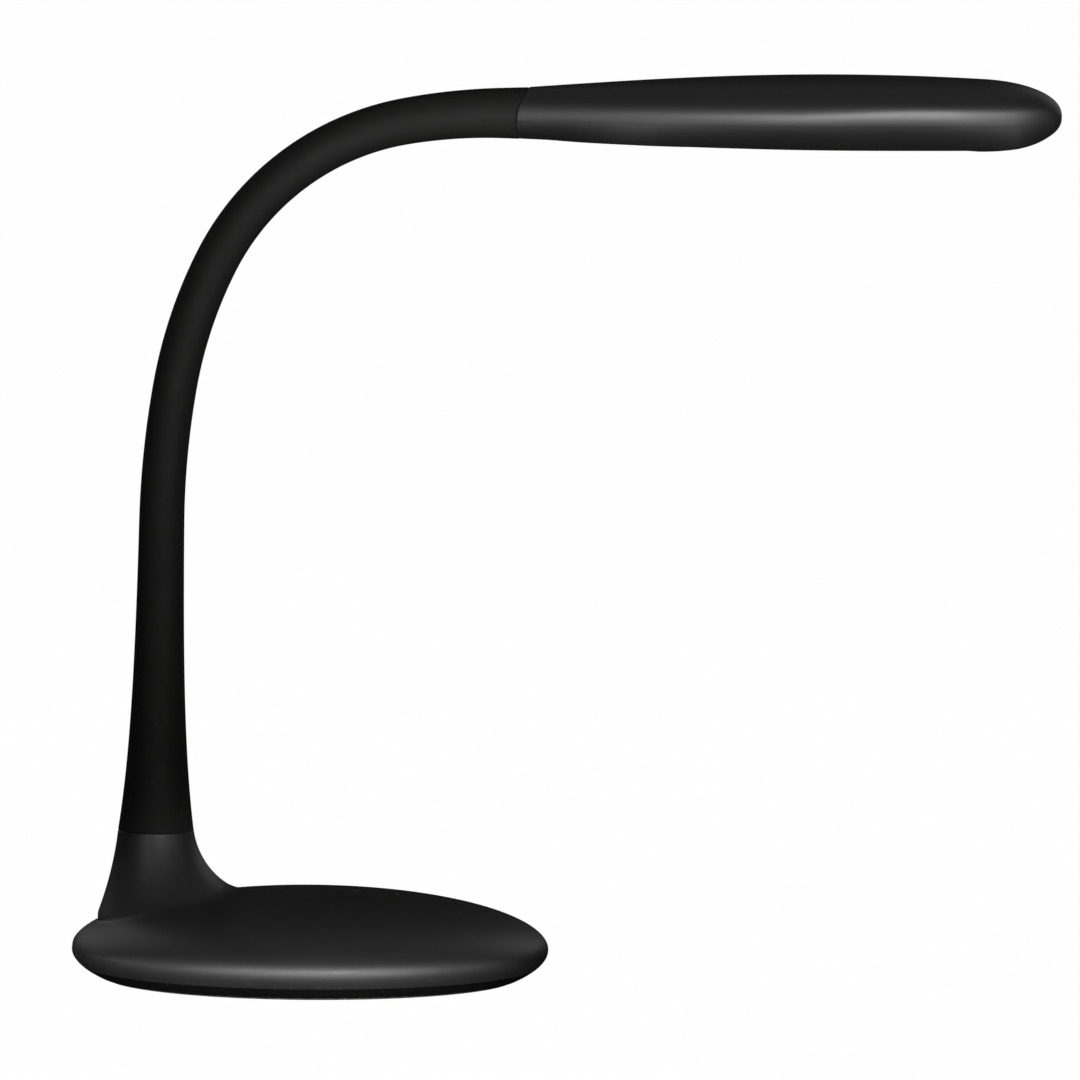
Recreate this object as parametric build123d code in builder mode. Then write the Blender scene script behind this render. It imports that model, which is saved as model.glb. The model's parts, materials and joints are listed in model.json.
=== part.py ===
from build123d import *
from math import cos, exp, pi, radians, sin, sqrt
import os

os.makedirs("parts", exist_ok=True)

# Gooseneck desk lamp, in millimetres.  The origin is the centre of the base's
# underside on the desk, +X runs from the stem towards the lamp head's tip,
# +Z is up.  The stem, neck and head lie in the XZ plane.

# ---------------------------------------------------------------- clearances
moving_gap = 0.3        # between pieces that move past each other
seat_gap = 0.1          # between curved pieces of one body that slip together
running_gap = 0.05      # radial play of a plunger in its bore
screw_play = 0.1        # radial play of a screw in the hole that it threads or passes
cut_over = 1.0          # how far a cut runs on past the face that it opens

# ---------------------------------------------------------------------- base
base_radius = 93.1      # the base is a flattened ball of this radius
base_half_height = 23.0
equator_height = 11.8   # of the ball's widest ring above the desk
cover_wall = 2.5
crown_radius = 5.0      # of the level middle of the ball's top
pan_rim_height = 5.0    # where the cover's lower edge meets the pan
pan_floor = 2.2
pan_lip_height = 3.0    # ring of the pan that stands up inside the cover
pan_lip_wall = 1.6
pan_clear = 0.8         # height of the pan above the desk
pad_inset = 13.6         # of the pad's edge from the base's widest ring
pad_thickness = 1.6

ballast_inset = 21.6     # of the ballast's edge from the base's widest ring
ballast_thickness = 8.0

boss_radius = 3.6
boss_inset = 16.9       # of the four cover screws from the base's widest ring
cover_screw_radius = 1.4
cover_screw_depth = 9.0
screw_head_radius = 2.7
screw_head_height = 1.4
pan_screw_head_height = 0.7
ballast_screw_circle = 40.0
ballast_screw_depth = 5.0

# ---------------------------------------------------------- stem foot (flare)
stem_inset = 32.7       # of the neck's centre at the foot from the base's widest ring
foot_radius = 14.8      # of foot and sleeve at their joint
foot_height = 57.8      # of that joint above the desk
neck_lean = 0.73        # degrees, of the straight lower neck
flare_slope = 0.14      # outward run per mm of drop, where the flare begins
front_reach = 21.0      # horizontal size of the fillet towards the middle of the base
front_drop = 24.3       # vertical size of that fillet
rear_slope = 0.11
rear_curve = 0.004      # growth of the rear slope, per mm of drop
rear_drop = 34.0
flare_angles = (0, 25, 45, 60, 72, 82, 90)
flare_root = 8.0        # how far the flare runs on under the cover's surface
collar_depth = 4.0      # solid top of the foot around the ferrule

# ---------------------------------------------------------------------- neck
bar_step = 12.0         # between the sections that a long round bar is lofted through
sleeve_step = 8.0       # the same for sleeve and core
neck_straight = 120.7
neck_bends = [(54.0, 9.0), (51.0, 16.5), (95.5, 53.4)]    # (arc length, degrees)
neck_last_bend = 38.5   # arc length of the bend that brings the neck level
neck_end_run = 7.8      # level run into the head
slim_radius = 8.4       # of the sleeve half way along
head_end_radius = 10.1  # of sleeve and head at their joint
foot_swell_length = 45.0
head_swell_length = 50.0
core_radius = 6.0       # of the bendable steel core
core_bore = 2.7
lead_radius = 2.0
pivot_count = 12
first_pivot = 26.0      # distance of the first bend point from the foot
last_pivot_back = 24.0  # distance of the last bend point from the head
ball_ratio = 1.12       # ball of a bend point, over the sleeve's radius there
seam_turn = 35          # degrees, keeps a ball's closing edge off the sleeve's

# ------------------------------------------------------------------ ferrules
ferrule_wall = 2.4
flange_radius = 11.5
flange_thickness = 3.0
stud_radius = 5.0
stud_sink = 0.5              # of the stud's end above the ballast's underside
nut_radius = 8.5
nut_height = 4.6
lower_ferrule_grip = 14.0    # length inside the sleeve
core_tail = 32.0             # length of core below the foot's joint
set_screw_radius = 2.0
set_screw_stand = 1.0        # of the lower set screw's end outside the ferrule
socket_radius = 1.0
socket_depth = 1.5
set_screw_drop = 18.0        # of the lower set screw below the foot's joint
lead_slot_height = 10.0
lead_turn_radius = 7.0       # of the neck lead where it leaves the ferrule's slot
lead_end_back = 4.0          # of the neck lead's end, back from the head's window
upper_ferrule_back = 9.0     # length inside the sleeve
upper_ferrule_front = 22.0   # length inside the head
upper_ferrule_wall = 1.9
core_nose = 10.0             # length of core past the head's joint
upper_set_screw_reach = 14.0

# ---------------------------------------------------------------------- head
head_length = 209.6
head_swell = 4.6        # growth of the head's half height
head_spread = 18.4      # growth of the head's half width
head_swell_period = 260.0
head_arch = 1.2         # rise of the head's centre line
head_tip_height_run = 31.5   # length over which the tip rounds off, side view
head_tip_width_run = 44.0    # the same in plan
head_tip_power = 2.3
least_half_width = 1.0  # of the sunk head form, at its end
least_half_height = 0.5
head_wall = 1.8
seam_radius = 18.3      # of the curved joint between sleeve and head
seam_forward = 15.3     # of that curve's centre from the joint's middle
seam_drop = 2.7
seam_overrun = 6.1      # how far sleeve and head are made past the joint's middle
head_seam_gap = 0.15    # hairline at the joints between shells
parting_drop = 2.6      # of the shells' parting plane below the head's axis

window_start = 50.0     # along the head
window_end = 186.0
window_width = 30.0
lens_sink = 0.5         # of the diffuser's face below the shell's surface
lens_wall = 1.6
tray_wall = 1.4
tray_overlap = 1.2      # of the tray's outline beyond the window, each side
tray_foot_drop = 7.2    # of the tray's lower edge below the head's axis
tray_side_lip = 1.8     # of the tray's floor inside the window, along its sides
tray_end_lip = 3.6      # the same at its ends
plate_top_drop = 0.0
plate_thickness = 1.5
led_board_thickness = 1.5
plate_width = 33.0
plate_margin = 2.0      # of the plate's ends inside the window's ends
led_length = 3.5
led_width = 2.8
led_height = 0.8
led_columns = 12
led_pitch = 10.2
led_row_spacing = 12.0

plate_screw_spacing_x = 108.0
plate_screw_spacing_y = 20.0
head_screw_radius = 1.1
head_screw_head = 2.1
head_screw_head_height = 1.2
head_screw_grip = 5.0
head_boss_radius = 2.8
shell_screw_reach = 34.0
shell_screw_spacing = 18.0
tip_screw_ahead = 10.0      # of the screw near the tip, ahead of the window's end
shell_screw_sink = 8.6  # of the screw heads' seat below the head's axis
shell_screw_bore = 2.4
rib_thickness = 2.0
rib_reaches = (8.0, 18.0)

# --------------------------------------------------------- power key, board
key_x = 26.0
key_radius = 8.0
key_flange_radius = 9.5
key_flange_thickness = 1.6
key_flange_height = 28.6    # of the flange's underside above the desk
key_sink = 0.2              # of the key's face below the cover's surface
key_stem_radius = 2.6
key_travel = 0.8
guide_wall = 1.6
guide_depth = 5.0
board_size = (58.0, 36.0)
board_centre_x = 18.0
board_thickness = 1.6
spacer_height = 2.4
spacer_radius = 3.0
spacer_margin = 1.0         # from a spacer to the board's edge
board_screw_short = 1.0     # of the board screws' ends above the bottom of their holes
board_screw_radius = 1.4
switch_size = 6.2
switch_height = 3.5
plunger_radius = 1.75
plunger_height = 1.5        # above the switch's body
plunger_depth = 1.3         # inside it
part_height = 6.0           # of the tall parts on the board
socket_size = 7.0           # of the two lead sockets
socket_inset = 9.0          # of each part's centre from the board's rear edge
socket_side = 8.0           # and from the board's middle line
coil_radius = 4.0
coil_inset = 19.0
coil_side = 10.0
capacitor_size = 8.0
chip_size = (6.0, 5.0, 1.6)
chip_inset = 21.0
chip_ahead = 10.0           # of the second chip, ahead of the switch

# ------------------------------------------------------------------ DC inlet
port_radius = 6.2
jack_width = 9.0
jack_length = 10.0
jack_inset = 6.3            # of the jack's face from the base's widest ring
jack_bore = 3.1
jack_bore_depth = 8.5
jack_pin_radius = 1.05
jack_pin_gap = 0.8          # of the pin's end behind the jack's face
cradle_width = 8.0
cradle_length = 8.0
inlet_lead_radius = 1.5
inlet_lead_bend = 5.0       # radius of its bends
inlet_lead_rise = 2.0       # of its centre line above the jack's
inlet_lead_out = 9.0        # run straight out of the jack's side
inlet_lead_turns = [(-4.0, 22.0), (22.0, 18.0)]     # its corners, from the stem's centre

# ------------------------------------------------------------ derived places
pad_radius = base_radius - pad_inset
ballast_radius = base_radius - ballast_inset
boss_circle = base_radius - boss_inset
stem_x = stem_inset - base_radius
jack_face_x = jack_inset - base_radius
tip_screw_reach = window_end + tip_screw_ahead
ballast_bottom = pan_clear + pan_floor
ballast_top = ballast_bottom + ballast_thickness
board_bottom = ballast_top + spacer_height
board_top = board_bottom + board_thickness
ferrule_radius = core_radius + ferrule_wall
plunger_well = plunger_depth + key_travel + moving_gap
upper_ferrule_radius = core_radius + upper_ferrule_wall


# The neck's centre line: straight runs and tangent arcs in the XZ plane.
rest_turn = 90 - neck_lean - sum(turn for _, turn in neck_bends)
bends = neck_bends + [(neck_last_bend, rest_turn)]
with BuildLine(Plane.XZ) as neck_line:
    run = Line((stem_x, foot_height),
               (stem_x + neck_straight * sin(radians(neck_lean)),
                foot_height + neck_straight * cos(radians(neck_lean))))
    for arc_length, turn in bends:
        run = JernArc(run @ 1, run % 1, arc_length / radians(turn), -turn)
    Line(run @ 1, run @ 1 + (run % 1) * neck_end_run)
neck_path = neck_line.wires()[0]
neck_length = neck_path.length
head_x = (neck_path @ 1).X
head_z = (neck_path @ 1).Z


def neck_plane(reach):
    """Plane across the neck at this distance from the foot; it runs on straight past the ends."""
    inside = min(max(reach, 0), neck_length)
    middle = neck_path.position_at(inside, position_mode=PositionMode.LENGTH)
    ahead = neck_path.tangent_at(inside, position_mode=PositionMode.LENGTH)
    return Plane(origin=middle + ahead * (reach - inside), x_dir=(0, 1, 0), z_dir=ahead)


def sleeve_radius(reach):
    """Outer radius of the sleeve: slim in the middle, swelling towards foot and head."""
    foot_swell = (foot_radius - slim_radius) * exp(-reach / foot_swell_length)
    head_end_swell = (head_end_radius - slim_radius) * exp((reach - neck_length) / head_swell_length)
    return slim_radius + foot_swell + head_end_swell


def neck_tube(start, end, radius_law, steps):
    """Solid round bar along the neck, lofted through circles of radius_law(reach)."""
    with BuildPart() as tube:
        for step in range(steps + 1):
            reach = start + (end - start) * step / steps
            with BuildSketch(neck_plane(reach)):
                Circle(radius_law(reach))
        loft()
    return tube.part


def bar(start, end, radius):
    """Round bar of one radius along the neck."""
    return neck_tube(start, end, lambda reach: radius, max(2, round((end - start) / bar_step)))


# ---------------------------------------------------------------- base forms
def base_form(inset, floor):
    """Flattened ball of the base, sunk by inset all round and cut flat at floor."""
    crown = (base_half_height - inset) * sqrt(1 - (crown_radius / (base_radius - inset)) ** 2)
    with BuildPart() as form:
        with BuildSketch(Plane.XZ):
            with Locations((0, equator_height)):
                Ellipse(base_radius - inset, base_half_height - inset)
            with Locations((0, floor)):
                Rectangle(base_radius, equator_height + crown - floor, align=(Align.MIN, Align.MIN),
                          mode=Mode.INTERSECT)
        revolve(axis=Axis.Z)
    return form.part


def flare_section(angle):
    """Front and rear points of the stem foot's flare at this angle of its fillet."""
    slip = 1 - cos(radians(angle))
    front_fall = front_drop * sin(radians(angle))
    rear_fall = front_fall + (rear_drop - front_drop) * slip
    front = Vector(stem_x + foot_radius + flare_slope * front_fall + front_reach * slip, 0,
                   foot_height - front_fall)
    rear = Vector(stem_x - foot_radius - rear_slope * rear_fall - rear_curve * rear_fall ** 2, 0,
                  foot_height - rear_fall)
    return front, rear


def flare_circle(angle, inset):
    """Tilted circle through the flare's front and rear points at this angle of its fillet."""
    front, rear = flare_section(angle)
    across = (front - rear).normalized()
    with BuildSketch(Plane(origin=(front + rear) / 2, x_dir=(0, 1, 0),
                           z_dir=Vector(-across.Z, 0, across.X))) as section:
        Circle((front - rear).length / 2 - inset)
    return section.sketch


def flare_form(inset):
    """Flared stem foot, lofted through tilted circles and sunk by inset, on a straight root."""
    front, rear = flare_section(90)
    root = (front + rear) / 2 + Vector(flare_root / 2, 0, -flare_root)
    with BuildSketch(Plane(origin=root, x_dir=(0, 1, 0), z_dir=(0, 0, 1))) as root_section:
        Circle((front - rear).length / 2 - inset)
    with BuildPart() as form:
        loft([flare_circle(angle, inset) for angle in flare_angles])
        loft([flare_circle(90, inset), root_section.sketch], ruled=True)
    return form.part


ball_outside = base_form(0, pan_rim_height)
ball_inside = base_form(cover_wall, pan_rim_height)
flare_outside = flare_form(0)
flare_inside = flare_form(cover_wall)

# ---------------------------------------------------------------- base cover
with BuildPart() as foot_hollow:
    add(flare_inside)
    with Locations((0, 0, foot_height - collar_depth)):
        Box(4 * base_radius, 2 * base_radius, foot_height, align=(Align.CENTER, Align.CENTER, Align.MIN),
            mode=Mode.SUBTRACT)

with BuildPart() as cover_bosses:
    with BuildSketch(Plane.XY.offset(ballast_bottom)):
        with PolarLocations(boss_circle, 4, start_angle=45):
            Circle(boss_radius)
    extrude(amount=base_half_height)
    with BuildSketch(Plane.XY.offset(key_flange_height - guide_depth)):
        with Locations((key_x, 0)):
            Circle(key_flange_radius + moving_gap + guide_wall)
    extrude(amount=base_half_height)
    add(base_form(cover_wall / 2, 0), mode=Mode.INTERSECT)

with BuildPart() as base_cover:
    add(ball_outside)
    add(flare_outside)
    add(ball_inside, mode=Mode.SUBTRACT)
    add(foot_hollow.part, mode=Mode.SUBTRACT)
    add(cover_bosses.part)
    add(bar(-collar_depth - cut_over, cut_over, ferrule_radius + seat_gap), mode=Mode.SUBTRACT)
    with BuildSketch(Plane.XY):
        with Locations((key_x, 0)):
            Circle(key_radius + moving_gap)
    extrude(amount=2 * base_half_height, mode=Mode.SUBTRACT)
    with BuildSketch(Plane.XY):
        with Locations((key_x, 0)):
            Circle(key_flange_radius + moving_gap)
    extrude(amount=key_flange_height + key_flange_thickness + seat_gap, mode=Mode.SUBTRACT)
    with BuildSketch(Plane.XY.offset(ballast_bottom)):
        with PolarLocations(boss_circle, 4, start_angle=45):
            Circle(cover_screw_radius + screw_play)
    extrude(amount=cover_screw_depth + screw_play, mode=Mode.SUBTRACT)
    with BuildSketch(Plane.YZ.offset(-base_radius - cut_over)):
        with Locations((0, equator_height)):
            Circle(port_radius)
    extrude(amount=base_radius + 2 * cut_over + jack_face_x, mode=Mode.SUBTRACT)
base_cover.part.label = "base_cover"
export_step(base_cover.part, "parts/base_cover.step")

# ------------------------------------------------------------------ base pan
with BuildPart() as base_pan:
    with BuildSketch(Plane.XZ):
        with Locations((0, equator_height)):
            Ellipse(base_radius, base_half_height)
        with Locations((0, pan_clear)):
            Rectangle(base_radius, pan_rim_height - head_seam_gap - pan_clear,
                      align=(Align.MIN, Align.MIN), mode=Mode.INTERSECT)
    revolve(axis=Axis.Z)
    with BuildSketch(Plane.XZ):
        with Locations((0, equator_height)):
            Ellipse(base_radius - cover_wall - seat_gap, base_half_height - cover_wall)
        with Locations((0, pan_clear)):
            Rectangle(base_radius, pan_rim_height + pan_lip_height - pan_clear,
                      align=(Align.MIN, Align.MIN), mode=Mode.INTERSECT)
    revolve(axis=Axis.Z)
    with BuildSketch(Plane.XZ):
        with Locations((0, equator_height)):
            Ellipse(base_radius - cover_wall - pan_lip_wall, base_half_height - cover_wall)
        with Locations((0, ballast_bottom)):
            Rectangle(base_radius, base_half_height, align=(Align.MIN, Align.MIN),
                      mode=Mode.INTERSECT)
    revolve(axis=Axis.Z, mode=Mode.SUBTRACT)
    with Locations((jack_face_x + jack_length / 2, 0, ballast_bottom)):
        Box(cradle_length, cradle_width, equator_height - jack_width / 2 - ballast_bottom,
            align=(Align.CENTER, Align.CENTER, Align.MIN))
    with BuildSketch(Plane.XY):
        Circle(pad_radius + seat_gap)
    extrude(amount=pad_thickness, mode=Mode.SUBTRACT)
    with BuildSketch(Plane.XY):
        with PolarLocations(boss_circle, 4, start_angle=45):
            Circle(cover_screw_radius + screw_play)
        with PolarLocations(ballast_screw_circle, 3):
            Circle(cover_screw_radius + screw_play)
        with Locations((stem_x, 0)):
            Circle(nut_radius + moving_gap)
    extrude(amount=ballast_bottom, mode=Mode.SUBTRACT)
base_pan.part.label = "base_pan"
export_step(base_pan.part, "parts/base_pan.step")

with BuildPart() as foot_pad:
    with BuildSketch(Plane.XY):
        Circle(pad_radius)
    extrude(amount=pad_thickness)
    with BuildSketch(Plane.XY.offset(pad_thickness)):
        with PolarLocations(boss_circle, 4, start_angle=45):
            Circle(screw_head_radius + seat_gap)
        with PolarLocations(ballast_screw_circle, 3):
            Circle(screw_head_radius + seat_gap)
    extrude(amount=-pan_screw_head_height, mode=Mode.SUBTRACT)
foot_pad.part.label = "foot_pad"
export_step(foot_pad.part, "parts/foot_pad.step")


def pan_screws(circle, count, start, depth):
    """Ring of pan screws: low heads against the pan's underside, shanks up into their bosses."""
    with BuildPart() as screws:
        with BuildSketch(Plane.XY.offset(pad_thickness)):
            with PolarLocations(circle, count, start_angle=start):
                Circle(screw_head_radius)
        extrude(amount=-pan_screw_head_height)
        with BuildSketch(Plane.XY.offset(pad_thickness)):
            with PolarLocations(circle, count, start_angle=start):
                Circle(cover_screw_radius)
        extrude(amount=ballast_bottom - pad_thickness + depth)
    return screws.part


cover_screws = pan_screws(boss_circle, 4, 45, cover_screw_depth)
cover_screws.label = "cover_screws"
export_step(cover_screws, "parts/cover_screws.step")
ballast_screws = pan_screws(ballast_screw_circle, 3, 0, ballast_screw_depth)
ballast_screws.label = "ballast_screws"
export_step(ballast_screws, "parts/ballast_screws.step")

# ------------------------------------------------------------------- ballast
spacer_inset = spacer_radius + spacer_margin
spacer_side = board_size[1] / 2 - spacer_inset
spacer_places = [(board_centre_x - board_size[0] / 2 + spacer_inset, 0),
                 (board_centre_x + board_size[0] / 2 - spacer_inset, spacer_side),
                 (board_centre_x + board_size[0] / 2 - spacer_inset, -spacer_side)]
with BuildPart() as ballast_plate:
    with BuildSketch(Plane.XY.offset(ballast_bottom)):
        Circle(ballast_radius)
    extrude(amount=ballast_thickness)
    with BuildSketch(Plane.XY.offset(ballast_bottom)):
        with Locations((stem_x, 0)):
            Circle(nut_radius + moving_gap)
    extrude(amount=nut_height, mode=Mode.SUBTRACT)
    with BuildSketch(Plane.XY.offset(ballast_bottom)):
        with Locations((stem_x, 0)):
            Circle(stud_radius + screw_play)
    extrude(amount=ballast_thickness, mode=Mode.SUBTRACT)
    with BuildSketch(Plane.XY.offset(ballast_bottom)):
        with PolarLocations(ballast_screw_circle, 3):
            Circle(cover_screw_radius + screw_play)
    extrude(amount=ballast_screw_depth + screw_play, mode=Mode.SUBTRACT)
    with BuildSketch(Plane.XY.offset(ballast_top)):
        with Locations(*spacer_places):
            Circle(board_screw_radius + screw_play)
    extrude(amount=-ballast_screw_depth, mode=Mode.SUBTRACT)
ballast_plate.part.label = "ballast_plate"
export_step(ballast_plate.part, "parts/ballast_plate.step")

# ------------------------------------------------------------- lower ferrule
lead_channel = 2 * (lead_radius + moving_gap)
with BuildPart() as lower_ferrule:
    with BuildSketch(Plane.XY.offset(ballast_bottom + stud_sink)):
        with Locations((stem_x, 0)):
            Circle(stud_radius)
    extrude(amount=ballast_thickness)
    with BuildSketch(Plane.XY.offset(ballast_top)):
        with Locations((stem_x, 0)):
            Circle(flange_radius)
    extrude(amount=flange_thickness)
    flange_face = ballast_top + flange_thickness - foot_height
    add(bar(flange_face, lower_ferrule_grip, ferrule_radius))
    add(bar(flange_face, lower_ferrule_grip + cut_over, core_radius + seat_gap), mode=Mode.SUBTRACT)
    with Locations((stem_x, 0, ballast_top + flange_thickness)):
        Box(2 * ferrule_radius, lead_channel, lead_slot_height,
            align=(Align.MIN, Align.CENTER, Align.MIN), mode=Mode.SUBTRACT)
    with BuildSketch(Plane.XZ.offset(-core_radius)):
        with Locations((stem_x, foot_height - set_screw_drop)):
            Circle(set_screw_radius + running_gap)
    extrude(amount=-2 * ferrule_wall, mode=Mode.SUBTRACT)
lower_ferrule.part.label = "lower_ferrule"
export_step(lower_ferrule.part, "parts/lower_ferrule.step")

with BuildPart() as ferrule_nut:
    with BuildSketch(Plane.XY.offset(ballast_bottom)):
        with Locations((stem_x, 0)):
            RegularPolygon(nut_radius, 6)
            Circle(stud_radius + running_gap, mode=Mode.SUBTRACT)
    extrude(amount=nut_height)
ferrule_nut.part.label = "ferrule_nut"
export_step(ferrule_nut.part, "parts/ferrule_nut.step")

with BuildPart() as lower_set_screw:
    with BuildSketch(Plane.XZ.offset(-core_radius - running_gap)):
        with Locations((stem_x, foot_height - set_screw_drop)):
            Circle(set_screw_radius)
    extrude(amount=-ferrule_wall - set_screw_stand)
    with BuildSketch(Plane.XZ.offset(-core_radius - ferrule_wall - set_screw_stand - running_gap)):
        with Locations((stem_x, foot_height - set_screw_drop)):
            RegularPolygon(socket_radius, 6)
    extrude(amount=socket_depth, mode=Mode.SUBTRACT)
lower_set_screw.part.label = "lower_set_screw"
export_step(lower_set_screw.part, "parts/lower_set_screw.step")

# ----------------------------------------------------- neck cores and sleeves
# The bendable core and its sleeve turn about evenly spaced bend points.  At
# each point the lower length ends in a ball and the upper length starts in a
# cup around the same centre, so the two stay clear at any bend.  The pieces are
# numbered from the foot.
pivot_pitch = (neck_length - last_pivot_back - first_pivot) / (pivot_count - 1)
pivots = [first_pivot + index * pivot_pitch for index in range(pivot_count)]
balls = [ball_ratio * sleeve_radius(reach) for reach in pivots]


def past_ball(reach, ball):
    """What lies beyond a bend point and outside its ball, to be cut from the lower length."""
    with BuildPart() as beyond:
        with BuildSketch(neck_plane(reach)):
            Circle(3 * ball)
        extrude(amount=3 * ball)
        with Locations(neck_plane(reach)):
            Sphere(ball - moving_gap, rotation=(0, 0, seam_turn), mode=Mode.SUBTRACT)
    return beyond.part


def neck_piece(index, radius_law, bore_law, first, last):
    """Length of tube number index, from the ball of one bend point to that of the next.

    The whole tube runs from first to last.
    """
    start = pivots[index - 1] if index > 0 else first
    end = pivots[index] + balls[index] if index < pivot_count else last
    steps = max(3, round((end - start) / sleeve_step))
    outside = neck_tube(start, end, radius_law, steps)
    inside = neck_tube(start, end, bore_law, steps)
    limits = past_ball(pivots[index], balls[index]) if index < pivot_count else None
    with BuildPart() as piece:
        add(outside)
        add(inside, mode=Mode.SUBTRACT)
        if limits:
            add(limits, mode=Mode.SUBTRACT)
        if index > 0:
            with Locations(neck_plane(pivots[index - 1])):
                Sphere(balls[index - 1], rotation=(0, 0, seam_turn), mode=Mode.SUBTRACT)
    return piece.part


lower_end = bar(-cut_over, lower_ferrule_grip + seat_gap, ferrule_radius + seat_gap)
upper_end = bar(neck_length - upper_ferrule_back - seat_gap, neck_length + seam_radius,
                upper_ferrule_radius + seat_gap)
with BuildPart() as seam_cylinder:
    with BuildSketch(Plane.XZ.offset(-3 * seam_radius)):
        with Locations((head_x + seam_forward, head_z - seam_drop)):
            Circle(seam_radius + head_seam_gap)
        with Locations((head_x + seam_forward, head_z - seam_drop)):
            Rectangle(2 * seam_radius, 4 * seam_radius, align=(Align.MIN, Align.CENTER))
    extrude(amount=6 * seam_radius)

for index in range(pivot_count + 1):
    with BuildPart() as neck_sleeve:
        add(neck_piece(index, sleeve_radius, lambda reach: core_radius + seat_gap,
                       0, neck_length + seam_overrun))
        if index == 0:
            add(lower_end, mode=Mode.SUBTRACT)
        if index == pivot_count:
            add(upper_end, mode=Mode.SUBTRACT)
            add(seam_cylinder.part, mode=Mode.SUBTRACT)
    neck_sleeve.part.label = f"neck_sleeve_{index:02d}"
    export_step(neck_sleeve.part, f"parts/neck_sleeve_{index:02d}.step")

    neck_core = neck_piece(index, lambda reach: core_radius, lambda reach: core_bore,
                           -core_tail, neck_length + core_nose)
    neck_core.label = f"neck_core_{index:02d}"
    export_step(neck_core, f"parts/neck_core_{index:02d}.step")


# ---------------------------------------------------------------- head forms
def head_radii(reach, inset):
    """Half width and half height of the head at this distance from its joint, sunk by inset."""
    wave = sin(pi * reach / head_swell_period)
    length = head_length - inset

    def tip_round(run):
        """Superellipse that rounds the tip off over the last run of the length."""
        into = max(0, (reach - length + run) / run)
        return (1 - into ** head_tip_power) ** (1 / head_tip_power)

    half_width = (head_end_radius + head_spread * wave) * tip_round(head_tip_width_run)
    half_height = (head_end_radius + head_swell * wave) * tip_round(head_tip_height_run)
    return max(half_width - inset, least_half_width), max(half_height - inset, least_half_height)


def head_axis(reach):
    """Height of the head's centre line, which arches slightly from joint to tip."""
    return head_z + head_arch * sin(pi * min(max(reach, 0), head_length) / head_length)


def head_plane(reach):
    """Plane across the head at this distance from its joint."""
    return Plane(origin=(head_x + reach, 0, head_axis(reach)), x_dir=(0, 1, 0), z_dir=(1, 0, 0))


head_fractions = (0, 0.08, 0.18, 0.3, 0.42, 0.55, 0.67, 0.77, 0.84, 0.89, 0.93, 0.96, 0.98, 0.99, 0.996, 0.999)


def head_form(inset):
    """The head's rounded bar, lofted through ellipses and sunk by inset; its rear end runs back."""
    with BuildPart() as form:
        for fraction in head_fractions:
            reach = -seam_overrun + (head_length - inset + seam_overrun) * fraction
            with BuildSketch(head_plane(reach)):
                Ellipse(*head_radii(reach, inset))
        loft()
    return form.part


def head_box(width, thickness, start, end, drop):
    """Slot-shaped slab in the head: from start to end along it, its top drop below the axis."""
    with BuildPart() as slab:
        with BuildSketch(Plane.XY.offset(head_z - drop)):
            with Locations((head_x + (start + end) / 2, 0)):
                SlotOverall(end - start, width)
        extrude(amount=-thickness)
    return slab.part


def head_posts(places, radius, bottom_drop, height):
    """Upright round posts in the head at (reach, side) places, from bottom_drop below the axis."""
    with BuildPart() as posts:
        with BuildSketch(Plane.XY.offset(head_z - bottom_drop)):
            with Locations(*[(head_x + reach, side) for reach, side in places]):
                Circle(radius)
        extrude(amount=height)
    return posts.part


head_outside = head_form(0)
head_inside = head_form(head_wall)
window_middle = (window_start + window_end) / 2
plate_screw_places = [(window_middle + end * plate_screw_spacing_x / 2, side * plate_screw_spacing_y / 2)
                      for end in (-1, 1) for side in (-1, 1)]
shell_screw_places = [(shell_screw_reach, shell_screw_spacing / 2),
                      (shell_screw_reach, -shell_screw_spacing / 2), (tip_screw_reach, 0)]
shell_gap = head_seam_gap / 2
tall = 4 * head_end_radius

with BuildPart() as head_ribs:
    for reach in rib_reaches:
        with BuildSketch(head_plane(reach)):
            Circle(2 * head_end_radius)
        extrude(amount=rib_thickness)
    add(head_form(head_wall / 2), mode=Mode.INTERSECT)

with BuildPart() as head_bosses:
    add(head_posts(plate_screw_places, head_boss_radius, plate_top_drop, tall))
    add(head_posts(shell_screw_places, head_boss_radius, tall, 2 * tall))
    add(head_form(head_wall / 2), mode=Mode.INTERSECT)

with BuildPart() as head_shell:
    add(head_outside)
    add(head_inside, mode=Mode.SUBTRACT)
    add(head_ribs.part)
    add(head_bosses.part)
    with BuildSketch(Plane.XZ.offset(-tall)):
        with Locations((head_x + seam_forward, head_z - seam_drop)):
            Rectangle(4 * seam_radius, 4 * seam_radius, align=(Align.MAX, Align.CENTER))
        with Locations((head_x + seam_forward, head_z - seam_drop)):
            Circle(seam_radius, mode=Mode.SUBTRACT)
    extrude(amount=2 * tall, mode=Mode.SUBTRACT)
    add(bar(neck_length - seam_radius, neck_length + upper_ferrule_front + seat_gap,
            upper_ferrule_radius + seat_gap), mode=Mode.SUBTRACT)
    add(head_posts(shell_screw_places, head_screw_radius + screw_play, tall,
                   tall - parting_drop + head_screw_grip + screw_play), mode=Mode.SUBTRACT)

plate_drop = plate_top_drop + plate_thickness
board_drop = plate_drop + led_board_thickness

with BuildPart() as head_top_cover:
    add(head_shell.part)
    with BuildSketch(Plane.XY.offset(head_z - parting_drop + shell_gap)):
        with Locations((head_x + head_length / 2, 0)):
            Rectangle(2 * head_length, tall * 2)
    extrude(amount=-tall, mode=Mode.SUBTRACT)
    add(head_posts(plate_screw_places, head_screw_radius + screw_play, plate_top_drop,
                   head_screw_grip + screw_play), mode=Mode.SUBTRACT)
head_top_cover.part.label = "head_top_cover"
export_step(head_top_cover.part, "parts/head_top_cover.step")

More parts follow.
